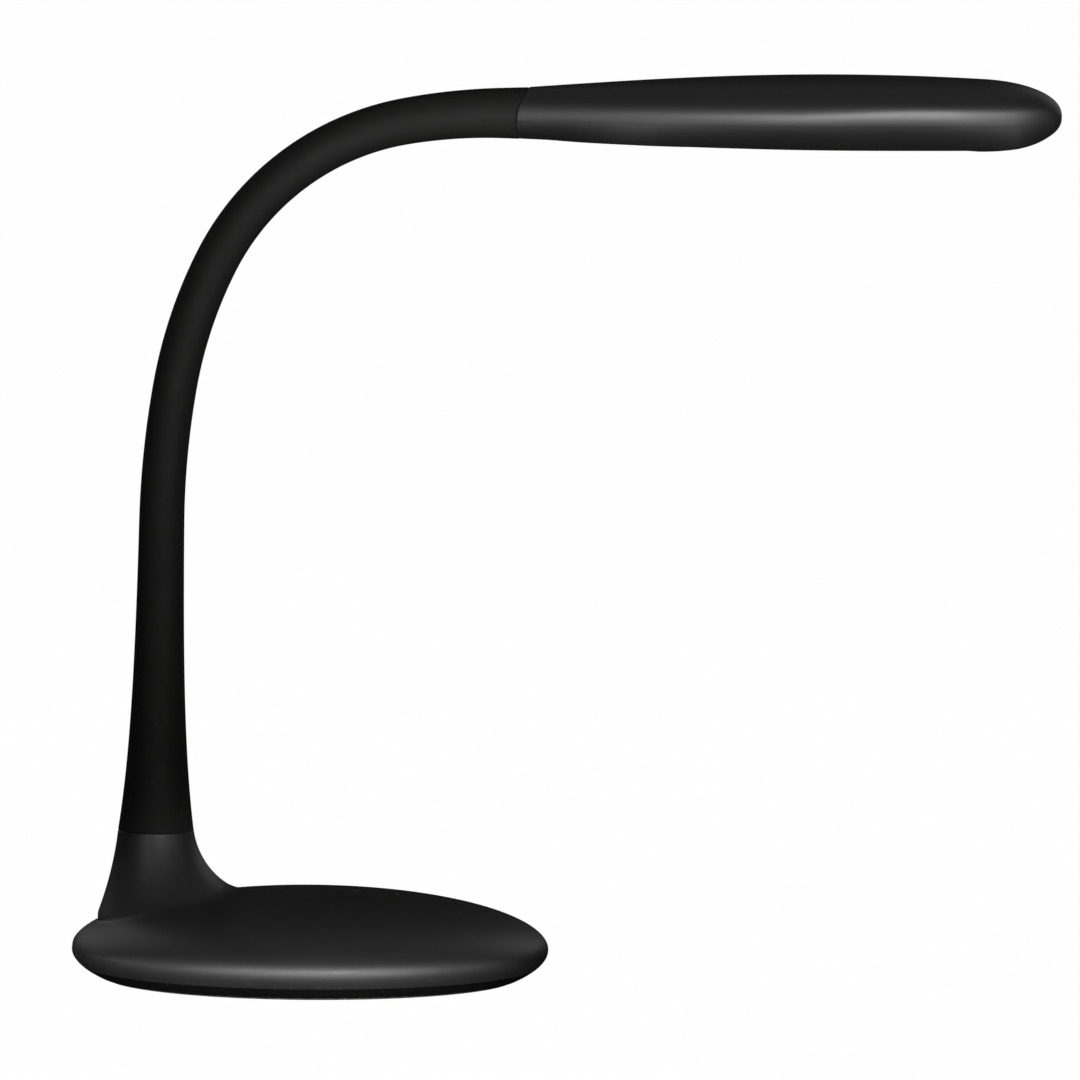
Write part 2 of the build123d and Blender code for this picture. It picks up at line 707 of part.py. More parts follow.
with BuildPart() as head_bottom_cover:
    add(head_shell.part)
    with BuildSketch(Plane.XY.offset(head_z - parting_drop - shell_gap)):
        with Locations((head_x + head_length / 2, 0)):
            Rectangle(2 * head_length, tall * 2)
    extrude(amount=tall, mode=Mode.SUBTRACT)
    add(head_box(window_width, tall, window_start, window_end, 0), mode=Mode.SUBTRACT)
    add(head_posts(shell_screw_places, shell_screw_bore, tall, tall - shell_screw_sink),
        mode=Mode.SUBTRACT)
head_bottom_cover.part.label = "head_bottom_cover"
export_step(head_bottom_cover.part, "parts/head_bottom_cover.step")

# ------------------------------------------------------------ light diffuser
with BuildPart() as light_diffuser:
    add(head_form(lens_sink))
    add(head_form(lens_sink + lens_wall), mode=Mode.SUBTRACT)
    add(head_box(window_width - 2 * seat_gap, tall, window_start + seat_gap, window_end - seat_gap,
                 tray_foot_drop), mode=Mode.INTERSECT)
light_diffuser.part.label = "light_diffuser"
export_step(light_diffuser.part, "parts/light_diffuser.step")

# ------------------------------------------------------ tray, board and LEDs
with BuildPart() as reflector_tray:
    add(head_box(window_width + 2 * tray_overlap, tray_foot_drop - board_drop,
                 window_start - tray_overlap, window_end + tray_overlap, board_drop))
    add(head_box(window_width + 2 * tray_overlap - 2 * tray_wall, tall,
                 window_start - tray_overlap + tray_wall, window_end + tray_overlap - tray_wall,
                 board_drop + led_height + seat_gap), mode=Mode.SUBTRACT)
    add(head_box(window_width - 2 * tray_side_lip, tall, window_start + tray_end_lip,
                 window_end - tray_end_lip, board_drop), mode=Mode.SUBTRACT)
    add(head_form(head_wall + seat_gap), mode=Mode.INTERSECT)
reflector_tray.part.label = "reflector_tray"
export_step(reflector_tray.part, "parts/reflector_tray.step")

plate_holes = head_posts(plate_screw_places, head_screw_radius + screw_play, tall, 2 * tall)
with BuildPart() as heat_plate:
    add(head_box(plate_width, plate_thickness, window_start + plate_margin, window_end - plate_margin,
                 plate_top_drop))
    add(plate_holes, mode=Mode.SUBTRACT)
heat_plate.part.label = "heat_plate"
export_step(heat_plate.part, "parts/heat_plate.step")

with BuildPart() as led_board:
    add(head_box(plate_width, led_board_thickness, window_start + plate_margin,
                 window_end - plate_margin, plate_drop))
    add(plate_holes, mode=Mode.SUBTRACT)
led_board.part.label = "led_board"
export_step(led_board.part, "parts/led_board.step")

with BuildPart() as leds:
    with BuildSketch(Plane.XY.offset(head_z - board_drop)):
        with Locations((head_x + window_middle, 0)):
            with GridLocations(led_pitch, led_row_spacing, led_columns, 2):
                Rectangle(led_length, led_width)
    extrude(amount=-led_height)
leds.part.label = "leds"
export_step(leds.part, "parts/leds.step")

with BuildPart() as plate_screws:
    add(head_posts(plate_screw_places, head_screw_radius, board_drop, board_drop - plate_top_drop
                   + head_screw_grip))
    add(head_posts(plate_screw_places, head_screw_head, board_drop + head_screw_head_height,
                   head_screw_head_height))
plate_screws.part.label = "plate_screws"
export_step(plate_screws.part, "parts/plate_screws.step")

with BuildPart() as shell_screws:
    add(head_posts(shell_screw_places, head_screw_radius, shell_screw_sink,
                   shell_screw_sink - parting_drop + head_screw_grip))
    add(head_posts(shell_screw_places, head_screw_head, shell_screw_sink + head_screw_head_height,
                   head_screw_head_height))
shell_screws.part.label = "shell_screws"
export_step(shell_screws.part, "parts/shell_screws.step")

# ------------------------------------------------------------- upper ferrule
with BuildPart() as upper_ferrule:
    add(bar(neck_length - upper_ferrule_back, neck_length + upper_ferrule_front, upper_ferrule_radius))
    add(bar(neck_length - upper_ferrule_back - cut_over, neck_length + core_nose + seat_gap,
            core_radius + seat_gap), mode=Mode.SUBTRACT)
    add(bar(neck_length, neck_length + upper_ferrule_front + cut_over, lead_radius + moving_gap),
        mode=Mode.SUBTRACT)
    with BuildSketch(Plane.XZ.offset(-lead_radius)):
        with Locations((head_x + upper_set_screw_reach, head_z)):
            Circle(set_screw_radius + running_gap)
    extrude(amount=-2 * upper_ferrule_radius, mode=Mode.SUBTRACT)
upper_ferrule.part.label = "upper_ferrule"
export_step(upper_ferrule.part, "parts/upper_ferrule.step")

with BuildPart() as upper_set_screw:
    with BuildSketch(Plane.XZ.offset(-lead_radius - moving_gap)):
        with Locations((head_x + upper_set_screw_reach, head_z)):
            Circle(set_screw_radius)
    extrude(amount=-(upper_ferrule_radius - lead_radius - moving_gap))
upper_set_screw.part.label = "upper_set_screw"
export_step(upper_set_screw.part, "parts/upper_set_screw.step")

# ------------------------------------------------------------- control board
with BuildPart() as board_spacers:
    with BuildSketch(Plane.XY.offset(ballast_top)):
        with Locations(*spacer_places):
            Circle(spacer_radius)
            Circle(board_screw_radius + screw_play, mode=Mode.SUBTRACT)
    extrude(amount=spacer_height)
board_spacers.part.label = "board_spacers"
export_step(board_spacers.part, "parts/board_spacers.step")

with BuildPart() as board_screws:
    with BuildSketch(Plane.XY.offset(board_top)):
        with Locations(*spacer_places):
            Circle(screw_head_radius)
    extrude(amount=screw_head_height)
    with BuildSketch(Plane.XY.offset(board_top)):
        with Locations(*spacer_places):
            Circle(board_screw_radius)
    extrude(amount=-(board_thickness + spacer_height + ballast_screw_depth - board_screw_short))
board_screws.part.label = "board_screws"
export_step(board_screws.part, "parts/board_screws.step")

with BuildPart() as control_board:
    with BuildSketch(Plane.XY.offset(board_bottom)):
        with Locations((board_centre_x, 0)):
            Rectangle(*board_size)
        with Locations(*spacer_places):
            Circle(board_screw_radius + screw_play, mode=Mode.SUBTRACT)
    extrude(amount=board_thickness)
control_board.part.label = "control_board"
export_step(control_board.part, "parts/control_board.step")

lead_height = board_top + part_height / 2       # of the leads' centre lines at the board
board_edge = board_centre_x - board_size[0] / 2
with BuildPart() as board_parts:
    # two lead sockets, an inductor, a capacitor and two chips
    with BuildSketch(Plane.XY.offset(board_top)):
        with Locations((board_edge + socket_inset, socket_side), (board_edge + socket_inset, -socket_side)):
            Rectangle(socket_size, socket_size)
        with Locations((board_edge + coil_inset, coil_side)):
            Circle(coil_radius)
        with Locations((board_edge + coil_inset, -coil_side)):
            Rectangle(capacitor_size, capacitor_size)
    extrude(amount=part_height)
    with Locations((board_edge + chip_inset, 0, board_top), (key_x + chip_ahead, 0, board_top)):
        Box(*chip_size, align=(Align.CENTER, Align.CENTER, Align.MIN))
board_parts.part.label = "board_parts"
export_step(board_parts.part, "parts/board_parts.step")

switch_top = board_top + switch_height
with BuildPart() as switch_body:
    with Locations((key_x, 0, board_top)):
        Box(switch_size, switch_size, switch_height, align=(Align.CENTER, Align.CENTER, Align.MIN))
    with BuildSketch(Plane.XY.offset(switch_top)):
        with Locations((key_x, 0)):
            Circle(plunger_radius + running_gap)
    extrude(amount=-plunger_well, mode=Mode.SUBTRACT)
switch_body.part.label = "switch_body"
export_step(switch_body.part, "parts/switch_body.step")

# ----------------------------------------------------------------- power key
with BuildPart() as switch_plunger:
    with BuildSketch(Plane.XY.offset(switch_top - plunger_depth)):
        with Locations((key_x, 0)):
            Circle(plunger_radius)
    extrude(amount=plunger_depth + plunger_height)
switch_plunger.part.label = "switch_plunger"
export_step(switch_plunger.part, "parts/switch_plunger.step")

with BuildPart() as power_key:
    with BuildSketch(Plane.XY.offset(key_flange_height)):
        with Locations((key_x, 0)):
            Circle(key_radius)
    extrude(amount=base_half_height)
    add(base_form(key_sink, 0), mode=Mode.INTERSECT)
    with BuildSketch(Plane.XY.offset(key_flange_height)):
        with Locations((key_x, 0)):
            Circle(key_flange_radius)
    extrude(amount=key_flange_thickness)
    with BuildSketch(Plane.XY.offset(switch_top + plunger_height)):
        with Locations((key_x, 0)):
            Circle(key_stem_radius)
    extrude(amount=key_flange_height - switch_top - plunger_height)
power_key.part.label = "power_key"
export_step(power_key.part, "parts/power_key.step")

# ------------------------------------------------------------------ DC inlet
jack_end_x = jack_face_x + jack_length
with BuildPart() as dc_jack:
    with Locations((jack_face_x, 0, equator_height)):
        Box(jack_length, jack_width, jack_width, align=(Align.MIN, Align.CENTER, Align.CENTER))
    with BuildSketch(Plane.YZ.offset(jack_face_x)):
        with Locations((0, equator_height)):
            Circle(jack_bore)
            Circle(jack_pin_radius, mode=Mode.SUBTRACT)
    extrude(amount=jack_bore_depth, mode=Mode.SUBTRACT)
    with BuildSketch(Plane.YZ.offset(jack_face_x)):
        with Locations((0, equator_height)):
            Circle(jack_pin_radius)
    extrude(amount=jack_pin_gap, mode=Mode.SUBTRACT)
dc_jack.part.label = "dc_jack"
export_step(dc_jack.part, "parts/dc_jack.step")

# ------------------------------------------------------- leads inside the lamp
jack_middle_x = (jack_face_x + jack_end_x) / 2
inlet_height = equator_height + inlet_lead_rise
socket_face = board_edge + socket_inset - socket_size / 2
inlet_route = [(jack_middle_x, jack_width / 2, inlet_height),
               (jack_middle_x, jack_width / 2 + inlet_lead_out, inlet_height),
               *[(stem_x + ahead, side, inlet_height) for ahead, side in inlet_lead_turns],
               (socket_face - 3 * inlet_lead_bend, socket_side, lead_height),
               (socket_face, socket_side, lead_height)]
with BuildPart() as inlet_lead:
    with BuildLine() as inlet_path:
        FilletPolyline(*inlet_route, radius=inlet_lead_bend)
    route = inlet_path.wires()[0]
    with BuildSketch(Plane(origin=route @ 0, z_dir=route % 0)):
        Circle(inlet_lead_radius)
    sweep(path=route)
inlet_lead.part.label = "inlet_lead"
export_step(inlet_lead.part, "parts/inlet_lead.step")

lead_exit_height = ballast_top + flange_thickness + lead_slot_height / 2
with BuildPart() as neck_lead:
    with BuildLine(Plane.XZ) as lead_path:
        tail = Line((stem_x + flange_radius + lead_turn_radius, lead_exit_height),
                    (stem_x + lead_turn_radius, lead_exit_height))
        bend = JernArc(tail @ 1, tail % 1, lead_turn_radius, -90)
        run = Line(bend @ 1, (stem_x, foot_height))
        run = Line(run @ 1, (stem_x + neck_straight * sin(radians(neck_lean)),
                             foot_height + neck_straight * cos(radians(neck_lean))))
        for arc_length, turn in bends:
            run = JernArc(run @ 1, run % 1, arc_length / radians(turn), -turn)
        Line(run @ 1, run @ 1 + (run % 1) * (neck_end_run + window_start - lead_end_back))
    route = lead_path.wires()[0]
    with BuildSketch(Plane(origin=route @ 0, z_dir=route % 0)):
        Circle(lead_radius)
    sweep(path=route)
neck_lead.part.label = "neck_lead"
export_step(neck_lead.part, "parts/neck_lead.step")

print("neck length", round(neck_length, 2), "head joint at", round(head_x, 2), round(head_z, 2))
print("pivots", [round(reach, 2) for reach in pivots])
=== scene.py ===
import json
import logging
from collections.abc import Callable
from dataclasses import dataclass, field
from enum import Enum
from math import cos, pi, radians, sin, tan

import bmesh
import bpy
import numpy as np
from mathutils import Matrix

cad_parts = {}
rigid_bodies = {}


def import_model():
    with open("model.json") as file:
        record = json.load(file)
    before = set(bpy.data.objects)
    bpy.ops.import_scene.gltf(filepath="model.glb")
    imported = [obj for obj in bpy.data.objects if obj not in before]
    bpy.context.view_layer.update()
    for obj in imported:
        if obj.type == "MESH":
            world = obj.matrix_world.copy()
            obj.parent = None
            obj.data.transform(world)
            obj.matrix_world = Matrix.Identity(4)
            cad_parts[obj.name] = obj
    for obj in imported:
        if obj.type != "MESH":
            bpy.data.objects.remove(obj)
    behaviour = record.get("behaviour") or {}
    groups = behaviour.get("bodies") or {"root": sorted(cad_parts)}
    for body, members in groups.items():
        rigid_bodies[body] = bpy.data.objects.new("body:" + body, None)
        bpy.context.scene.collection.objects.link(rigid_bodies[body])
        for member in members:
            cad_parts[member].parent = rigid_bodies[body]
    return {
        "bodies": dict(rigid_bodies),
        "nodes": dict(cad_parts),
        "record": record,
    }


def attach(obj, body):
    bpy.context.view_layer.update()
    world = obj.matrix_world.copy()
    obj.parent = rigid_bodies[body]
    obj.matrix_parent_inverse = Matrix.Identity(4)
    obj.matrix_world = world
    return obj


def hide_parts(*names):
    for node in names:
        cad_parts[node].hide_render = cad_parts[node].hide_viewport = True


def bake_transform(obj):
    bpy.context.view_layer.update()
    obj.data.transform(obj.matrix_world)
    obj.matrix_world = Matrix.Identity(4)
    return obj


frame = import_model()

log = logging.getLogger("gooseneck_lamp")
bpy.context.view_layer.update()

Array = np.ndarray
Socket = bpy.types.NodeSocket
Piece = bpy.types.Object
Triple = tuple[float, float, float]

MM = 0.001          # metres in a millimetre: sizes are written in millimetres, meshes are in metres
MERGE = 2e-6        # metres within which corners are merged
CREASE = 38.0       # degrees past which an edge shades sharp
BAND = 0.314        # scale of a wave texture whose bands are one unit apart
SIDEWAYS = np.array([0.0, 1.0, 0.0])


# ------------------------------------------------------------------ shader maths
class Signal:
    """A number that a node gives out; arithmetic on it adds Math nodes."""

    def __init__(self, shade: "Shade", socket: Socket) -> None:
        """Wraps one output socket of a shade's node tree."""
        self.shade, self.socket = shade, socket

    def __add__(self, other: "Number") -> "Signal":
        """self + other."""
        return self.shade.maths("ADD", self, other)

    def __sub__(self, other: "Number") -> "Signal":
        """self - other."""
        return self.shade.maths("SUBTRACT", self, other)

    def __rsub__(self, other: "Number") -> "Signal":
        """other - self."""
        return self.shade.maths("SUBTRACT", other, self)

    def __mul__(self, other: "Number") -> "Signal":
        """self * other."""
        return self.shade.maths("MULTIPLY", self, other)

    __radd__, __rmul__ = __add__, __mul__


Number = float | Signal | Socket


class Shade:
    """A node tree; one made by surface has a Principled shader at its end."""

    NAMES = {"specular": "Specular IOR Level"}

    def __init__(self, owner: bpy.types.Material | bpy.types.World) -> None:
        """Takes the owner's tree and clears it."""
        owner.use_nodes = True
        self.tree = owner.node_tree
        self.tree.nodes.clear()

    @classmethod
    def surface(cls, material: bpy.types.Material) -> "Shade":
        """Gives a material its shader, output and object coordinates."""
        shade = cls(material)
        shade.shader = shade.node("ShaderNodeBsdfPrincipled")
        shade.output = shade.node("ShaderNodeOutputMaterial", inputs={0: shade.shader.outputs[0]})
        shade.place = shade.node("ShaderNodeTexCoord").outputs["Object"]
        return shade

    def feed(self, socket: Socket, value: Number | tuple) -> None:
        """Links a signal or socket to a socket, or sets its value; a colour gets its alpha."""
        value = value.socket if isinstance(value, Signal) else value
        if isinstance(value, Socket):
            self.tree.links.new(value, socket)
        else:
            socket.default_value = (*value, 1.0) if socket.type == "RGBA" else value

    def node(self, kind: str, settings: dict | None = None, inputs: dict | None = None) -> bpy.types.Node:
        """Adds a node.

        Args:
            kind: Blender's type name of the node.
            settings: properties to set first.
            inputs: value or link of each socket, by its name or number.

        Returns:
            The new node.
        """
        made = self.tree.nodes.new(kind)
        for name, value in (settings or {}).items():
            setattr(made, name, value)
        for key, value in (inputs or {}).items():
            self.feed(made.inputs[key], value)
        return made

    def signal(self, node: bpy.types.Node, output: int = 0) -> Signal:
        """Wraps an output of a node as a number."""
        return Signal(self, node.outputs[output])

    def maths(self, operation: str, first: Number, second: Number) -> Signal:
        """Adds a Math node and gives its result."""
        return self.signal(self.node("ShaderNodeMath", {"operation": operation}, {0: first, 1: second}))

    def stretched(self, scale: Triple, turn: Triple = (0, 0, 0)) -> Socket:
        """Object coordinates through a Mapping node of this scale and turn (radians)."""
        return self.node("ShaderNodeMapping",
                         inputs={"Vector": self.place, "Scale": scale, "Rotation": turn}).outputs[0]

    def noise(self, size: float, detail: float = 2.0, rough: float = 0.5, place: Socket | None = None
              ) -> Signal:
        """Noise texture.

        Args:
            size: size of its patches in millimetres.
            detail: octaves of finer noise on top.
            rough: strength of those octaves.
            place: coordinates that it reads, the object's own where left out.

        Returns:
            The noise, from 0 to 1 about a middle of 0.5.
        """
        return self.signal(self.node("ShaderNodeTexNoise", {}, {
            "Vector": place or self.place, "Scale": 1 / (size * MM), "Detail": detail, "Roughness": rough}))

    def cells(self, size: float, place: Socket | None = None) -> Signal:
        """Distance from the nearest of many scattered points, about size millimetres apart."""
        return self.signal(self.node("ShaderNodeTexVoronoi", {"feature": "F1"}, {
            "Vector": place or self.place, "Scale": 1 / (size * MM)}))

    def waves(self, size: float, direction: str, wobble: float = 0.0, kind: str = "BANDS") -> Signal:
        """BANDS across, or RINGS about, X, Y or Z, of one size in millimetres, shaken by wobble."""
        return self.signal(self.node("ShaderNodeTexWave", {
            "wave_type": kind, f"{kind.lower()}_direction": direction, "wave_profile": "SIN"}, {
            "Vector": self.place, "Scale": BAND / (size * MM), "Distortion": wobble,
            "Detail": 1.0, "Detail Scale": 1.0}), 1)

    def remap(self, value: Number, low: float, high: float) -> Signal:
        """Smooth step of value from low..high to 0..1."""
        return self.signal(self.node("ShaderNodeMapRange", {"interpolation_type": "SMOOTHSTEP"}, {
            0: value, 1: low, 2: high}))

    def height(self) -> Signal:
        """Height above the desk in metres."""
        return self.signal(self.node("ShaderNodeSeparateXYZ", inputs={0: self.place}), 2)

    def blend(self, share: Number, first: Triple | Socket, second: Triple | Socket) -> Socket:
        """Colour between first and second by share."""
        return self.node("ShaderNodeMix", {"data_type": "RGBA"}, {0: share, 6: first, 7: second}).outputs[2]

    def relief(self, height: Signal, depth: float, under: Socket | None = None) -> Socket:
        """Bump of this depth in millimetres for a height from 0 to 1, on top of another bump."""
        inputs = {"Height": height, "Distance": depth * MM, "Strength": 1.0}
        return self.node("ShaderNodeBump", {}, inputs | ({"Normal": under} if under else {})).outputs[0]

    def dress(self, **inputs: Number | tuple) -> None:
        """Sets the shader's own sockets, named in lower case with _ for a space."""
        for key, value in inputs.items():
            self.feed(self.shader.inputs[self.NAMES.get(key, key.replace("_", " ").title())], value)


# ----------------------------------------------------------------------- finishes
class Grain(Enum):
    """Size in millimetres of a moulded surface's spark-eroded grain."""

    FINE = 0.35
    MEDIUM = 0.55
    COARSE = 0.9


def grey(level: float) -> Triple:
    """Neutral colour."""
    return level, level, level


@dataclass(frozen=True)
class Finish:
    """A surface: its name, its colour and its roughness."""

    name: str
    colour: Triple
    roughness: float

    def material(self) -> bpy.types.Material:
        """The finish's material, made on first use."""
        if self.name not in bpy.data.materials:
            self.paint(Shade.surface(bpy.data.materials.new(self.name)))
        return bpy.data.materials[self.name]

    def paint(self, shade: Shade) -> None:
        """Fills the shade's node tree."""
        raise NotImplementedError

    def tinted(self, by: float) -> Triple:
        """The colour, by times as bright."""
        return tuple(min(1.0, c * by) for c in self.colour)


@dataclass(frozen=True)
class MouldedShell(Finish):
    """Satin black moulding: spark-eroded grain, uneven gloss, wipe marks, dust, and pale specks that are
    dust and painted glints.
    """

    grain: Grain = Grain.FINE
    depth: float = 0.012
    dust: float = 0.5
    gloss: float = 1.0
    coat: float = 0.9
    dust_colour: Triple = (0.16, 0.155, 0.15)

    def paint(self, shade: Shade) -> None:
        """Grain gives the bump; patches, wipe marks, dust and pale specks (dust that is also painted glints)
        vary roughness and colour.
        """
        grain = shade.noise(self.grain.value, 3.0, 0.6)
        pits = shade.cells(self.grain.value * 1.6)
        patches = shade.noise(38.0, 4.0, 0.55)
        wipes = shade.noise(3.0, 3.0, 0.6, shade.stretched((0.12, 1.0, 1.0), (0.0, 0.25, 0.3)))
        # pale specks of dust, which also stand in as painted glints
        dust_and_glint_specks = shade.remap(shade.cells(7.0), 0.035, 0.015) * shade.remap(shade.noise(19.0), 0.5, 0.62)
        low = shade.remap(shade.height(), 0.012, 0.003) * shade.remap(shade.noise(2.4, 4.0, 0.7), 0.5, 0.75)
        # haze: dust near the desk plus the pale specks, which are partly painted glints
        haze = self.dust * (dust_and_glint_specks + 0.35 * low)
        skin = shade.blend(patches, self.tinted(0.85), self.tinted(1.2))
        shade.dress(
            base_color=shade.blend(haze, skin, self.dust_colour),
            roughness=self.roughness + 0.1 * (patches - 0.5) + 0.08 * (wipes - 0.5) + 0.06 * (grain - 0.5)
            + 0.3 * haze,
            normal=shade.relief(grain + 0.6 * pits, self.depth),
            specular=self.gloss, coat_weight=self.coat, coat_roughness=0.42)


@dataclass(frozen=True)
class SoftSleeve(Finish):
    """Dull soft skin of the neck: powdery tooth, faint rubbed patches, lint."""

    tooth: float = 0.28
    depth: float = 0.03
    lint_colour: Triple = (0.14, 0.135, 0.13)

    def paint(self, shade: Shade) -> None:
        """Tooth gives the bump; rubbed patches are smoother and a little darker, lint is pale."""
        tooth = shade.noise(self.tooth, 3.0, 0.65)
        bloom = shade.noise(24.0, 5.0, 0.6)
        rubbed = shade.remap(shade.noise(11.0, 3.0, 0.5), 0.5, 0.72)
        lint = shade.remap(shade.cells(6.0, shade.stretched((1.0, 1.0, 0.35))), 0.045, 0.02)
        lint = lint * shade.remap(shade.noise(15.0), 0.52, 0.64)
        skin = shade.blend(bloom, self.tinted(0.8), self.tinted(1.25))
        shade.dress(
            base_color=shade.blend(0.5 * lint, skin, self.lint_colour),
            roughness=self.roughness + 0.12 * (bloom - 0.5) - 0.08 * rubbed + 0.1 * (tooth - 0.5),
            normal=shade.relief(tooth, self.depth), specular=0.4)


@dataclass(frozen=True)
class RibbedPad(Finish):
    """Non-slip rubber with fine round ribs and pressed-in dust."""

    pitch: float = 2.4
    dust_colour: Triple = (0.13, 0.125, 0.12)

    def paint(self, shade: Shade) -> None:
        """Round ribs and tooth give the bump; dust lies between the ribs."""
        ribs = shade.waves(self.pitch, "Z", kind="RINGS")
        tooth = shade.noise(0.5, 3.0, 0.6)
        dust = shade.remap(shade.noise(9.0, 4.0, 0.6), 0.5, 0.8) * (1 - ribs)
        shade.dress(
            base_color=shade.blend(0.45 * dust, self.colour, self.dust_colour),
            roughness=self.roughness + 0.1 * (tooth - 0.5),
            normal=shade.relief(tooth, 0.03, shade.relief(ribs, 0.35)), specular=0.4)


@dataclass(frozen=True)
class Metal(Finish):
    """Bare or plated metal with tool marks across it and dull spots."""

    marks: float = 0.12
    direction: Triple = (0.05, 1.0, 1.0)
    stain: Triple = (0.2, 0.17, 0.14)

    def paint(self, shade: Shade) -> None:
        """Stretched noise draws the tool marks; stains are rougher and less metallic."""
        lines = shade.noise(self.marks, 3.0, 0.6, shade.stretched(self.direction))
        spots = shade.remap(shade.noise(6.0, 5.0, 0.65), 0.56, 0.75)
        skin = shade.blend(lines, self.tinted(0.8), self.tinted(1.12))
        shade.dress(
            base_color=shade.blend(0.5 * spots, skin, self.stain),
            metallic=1.0 - 0.25 * spots,
            roughness=self.roughness + 0.22 * (lines - 0.5) + 0.2 * spots,
            normal=shade.relief(lines, 0.01))


@dataclass(frozen=True)
class WoundCore(Finish):
    """Round spring wire wound close, with the wedge wire between its turns."""

    pitch: float = 1.6
    valley_colour: Triple = (0.05, 0.045, 0.04)

    def paint(self, shade: Shade) -> None:
        """Slanted bands are the turns; the colour is painted darker and less metallic in their valleys."""
        turns = shade.waves(self.pitch, "DIAGONAL", 0.25)
        # the valleys between turns are painted darker and less metallic
        valley_darkening = shade.remap(turns, 0.35, 0.05)
        haze = shade.noise(5.0, 4.0, 0.6)
        skin = shade.blend(haze, self.tinted(0.8), self.tinted(1.15))
        shade.dress(
            base_color=shade.blend(valley_darkening, skin, self.valley_colour),
            metallic=1.0 - 0.4 * valley_darkening,
            roughness=self.roughness + 0.2 * (haze - 0.5),
            normal=shade.relief(turns, 0.3))


@dataclass(frozen=True)
class BoardMask(Finish):
    """Solder mask on a board: tracks stand up under it, and it thins at their edges."""

    track: float = 1.3

    def paint(self, shade: Shade) -> None:
        """Two sets of bands cut by patches are the tracks; the mask is lighter over them."""
        lines = shade.remap(shade.waves(self.track, "Y"), 0.55, 0.7)
        crossings = shade.remap(shade.waves(self.track * 1.7, "X"), 0.7, 0.8)
        here = shade.remap(shade.noise(9.0, 0.0), 0.48, 0.52)
        copper = here * lines + (1 - here) * crossings
        weave = shade.noise(0.4, 2.0)
        shade.dress(
            base_color=shade.blend(copper, self.colour, self.tinted(1.7)),
            roughness=self.roughness + 0.12 * (weave - 0.5) + 0.05 * copper,
            normal=shade.relief(weave, 0.008, shade.relief(copper, 0.035)))


@dataclass(frozen=True)
class PlainMoulding(Finish):
    """Small moulded part: fine grain, slight mottling and a scuff here and there."""

    grain: Grain = Grain.FINE
    waxy: float = 0.0

    def paint(self, shade: Shade) -> None:
        """Grain gives the bump; mottling and scuffs vary colour and roughness."""
        grain = shade.noise(self.grain.value, 3.0, 0.6)
        mottle = shade.noise(8.0, 4.0, 0.55)
        slanted = shade.stretched((0.2, 1.0, 1.0), (0.2, 0.0, 0.7))
        scuffs = shade.remap(shade.noise(1.2, 3.0, 0.6, slanted), 0.62, 0.72)
        shade.dress(
            base_color=shade.blend(mottle, self.tinted(0.92), self.tinted(1.08)),
            roughness=self.roughness + 0.1 * (mottle - 0.5) + 0.15 * scuffs,
            normal=shade.relief(grain, 0.01),
            subsurface_weight=self.waxy, subsurface_radius=(0.002, 0.002, 0.002))


FINISHES: dict[str, Finish] = {
    "cover_black": MouldedShell("satin_black_shell", grey(0.0075), 0.56),
    "pan_black": MouldedShell("matt_black_pan", grey(0.003), 0.55, Grain.MEDIUM, 0.02, 0.12, 0.2, 0.0),
    "pad_rubber": RibbedPad("ribbed_rubber_pad", grey(0.02), 0.75),
    "sleeve_black": SoftSleeve("soft_black_sleeve", (0.0142, 0.0139, 0.0131), 0.74),
    "core_steel": WoundCore("wound_steel_core", (0.42, 0.42, 0.43), 0.34),
    "ballast_iron": Metal("blackened_plate", (0.11, 0.11, 0.115), 0.5, 0.6, grey(1.0), (0.12, 0.07, 0.045)),
    "turned_steel": Metal("turned_zinc_steel", (0.52, 0.52, 0.51), 0.3, 0.15, (1.0, 1.0, 0.04)),
    "screw_steel": Metal("blackened_screw_steel", (0.28, 0.28, 0.29), 0.38, 0.2, (1.0, 1.0, 0.1)),
    "lead_jacket": PlainMoulding("lead_jacket", grey(0.03), 0.5),
    "board_green": BoardMask("green_solder_mask", (0.02, 0.12, 0.045), 0.34),
    "board_part_black": PlainMoulding("moulded_board_part", (0.028, 0.028, 0.03), 0.45, Grain.MEDIUM),
    "key_black": MouldedShell("satin_black_key", grey(0.0095), 0.53, Grain.FINE, 0.008, 0.4),
    "plunger_white": PlainMoulding("white_plunger", (0.7, 0.7, 0.68), 0.4),
    "plate_aluminium": Metal("rolled_aluminium", (0.78, 0.78, 0.79), 0.32, 0.12, (0.03, 1.0, 1.0),
                             (0.55, 0.55, 0.54)),
    "board_white": BoardMask("white_solder_mask", (0.8, 0.8, 0.78), 0.38, 2.2),
    "led_yellow": PlainMoulding("phosphor_lens", (0.85, 0.66, 0.16), 0.22, Grain.FINE, 0.2),
    "diffuser_opal": PlainMoulding("opal_diffuser", (0.84, 0.84, 0.82), 0.33, Grain.COARSE, 0.35),
}


# ------------------------------------------------------------------- mesh helpers
class Side(Enum):
    """An edge of a grid of points: the axis that it ends, and the way along that axis."""

    FIRST_ROW = (0, 1)
    LAST_ROW = (0, -1)
    FIRST_COLUMN = (1, 1)
    LAST_COLUMN = (1, -1)


def ease(value: Array, low: float, high: float) -> Array:
    """Smooth step: t^2 * (3 - 2 t), where t is value's share of the way from low to high, kept in 0..1."""
    share = np.clip((value - low) / (high - low), 0, 1)
    return share ** 2 * (3 - 2 * share)


def unit(vectors: Array) -> Array:
    """Each vector divided by its length."""
    return vectors / np.maximum(np.linalg.norm(vectors, axis=-1, keepdims=True), 1e-9)


def spread(*parts: Array | float) -> Array:
    """Stacks X, Y and Z, each widened to one shape, into points."""
    return np.stack(np.broadcast_arrays(*parts), axis=-1).astype(float)


def around(columns: int) -> Array:
    """Even angles round a full turn."""
    return np.linspace(0, 2 * pi, columns, endpoint=False)


def mirrored(half: Array) -> Array:
    """Grid whose columns run out along one half and back along its mirror image across the XZ plane."""
    return np.concatenate([half, (half * [1, -1, 1])[:, -2:0:-1]], axis=1)


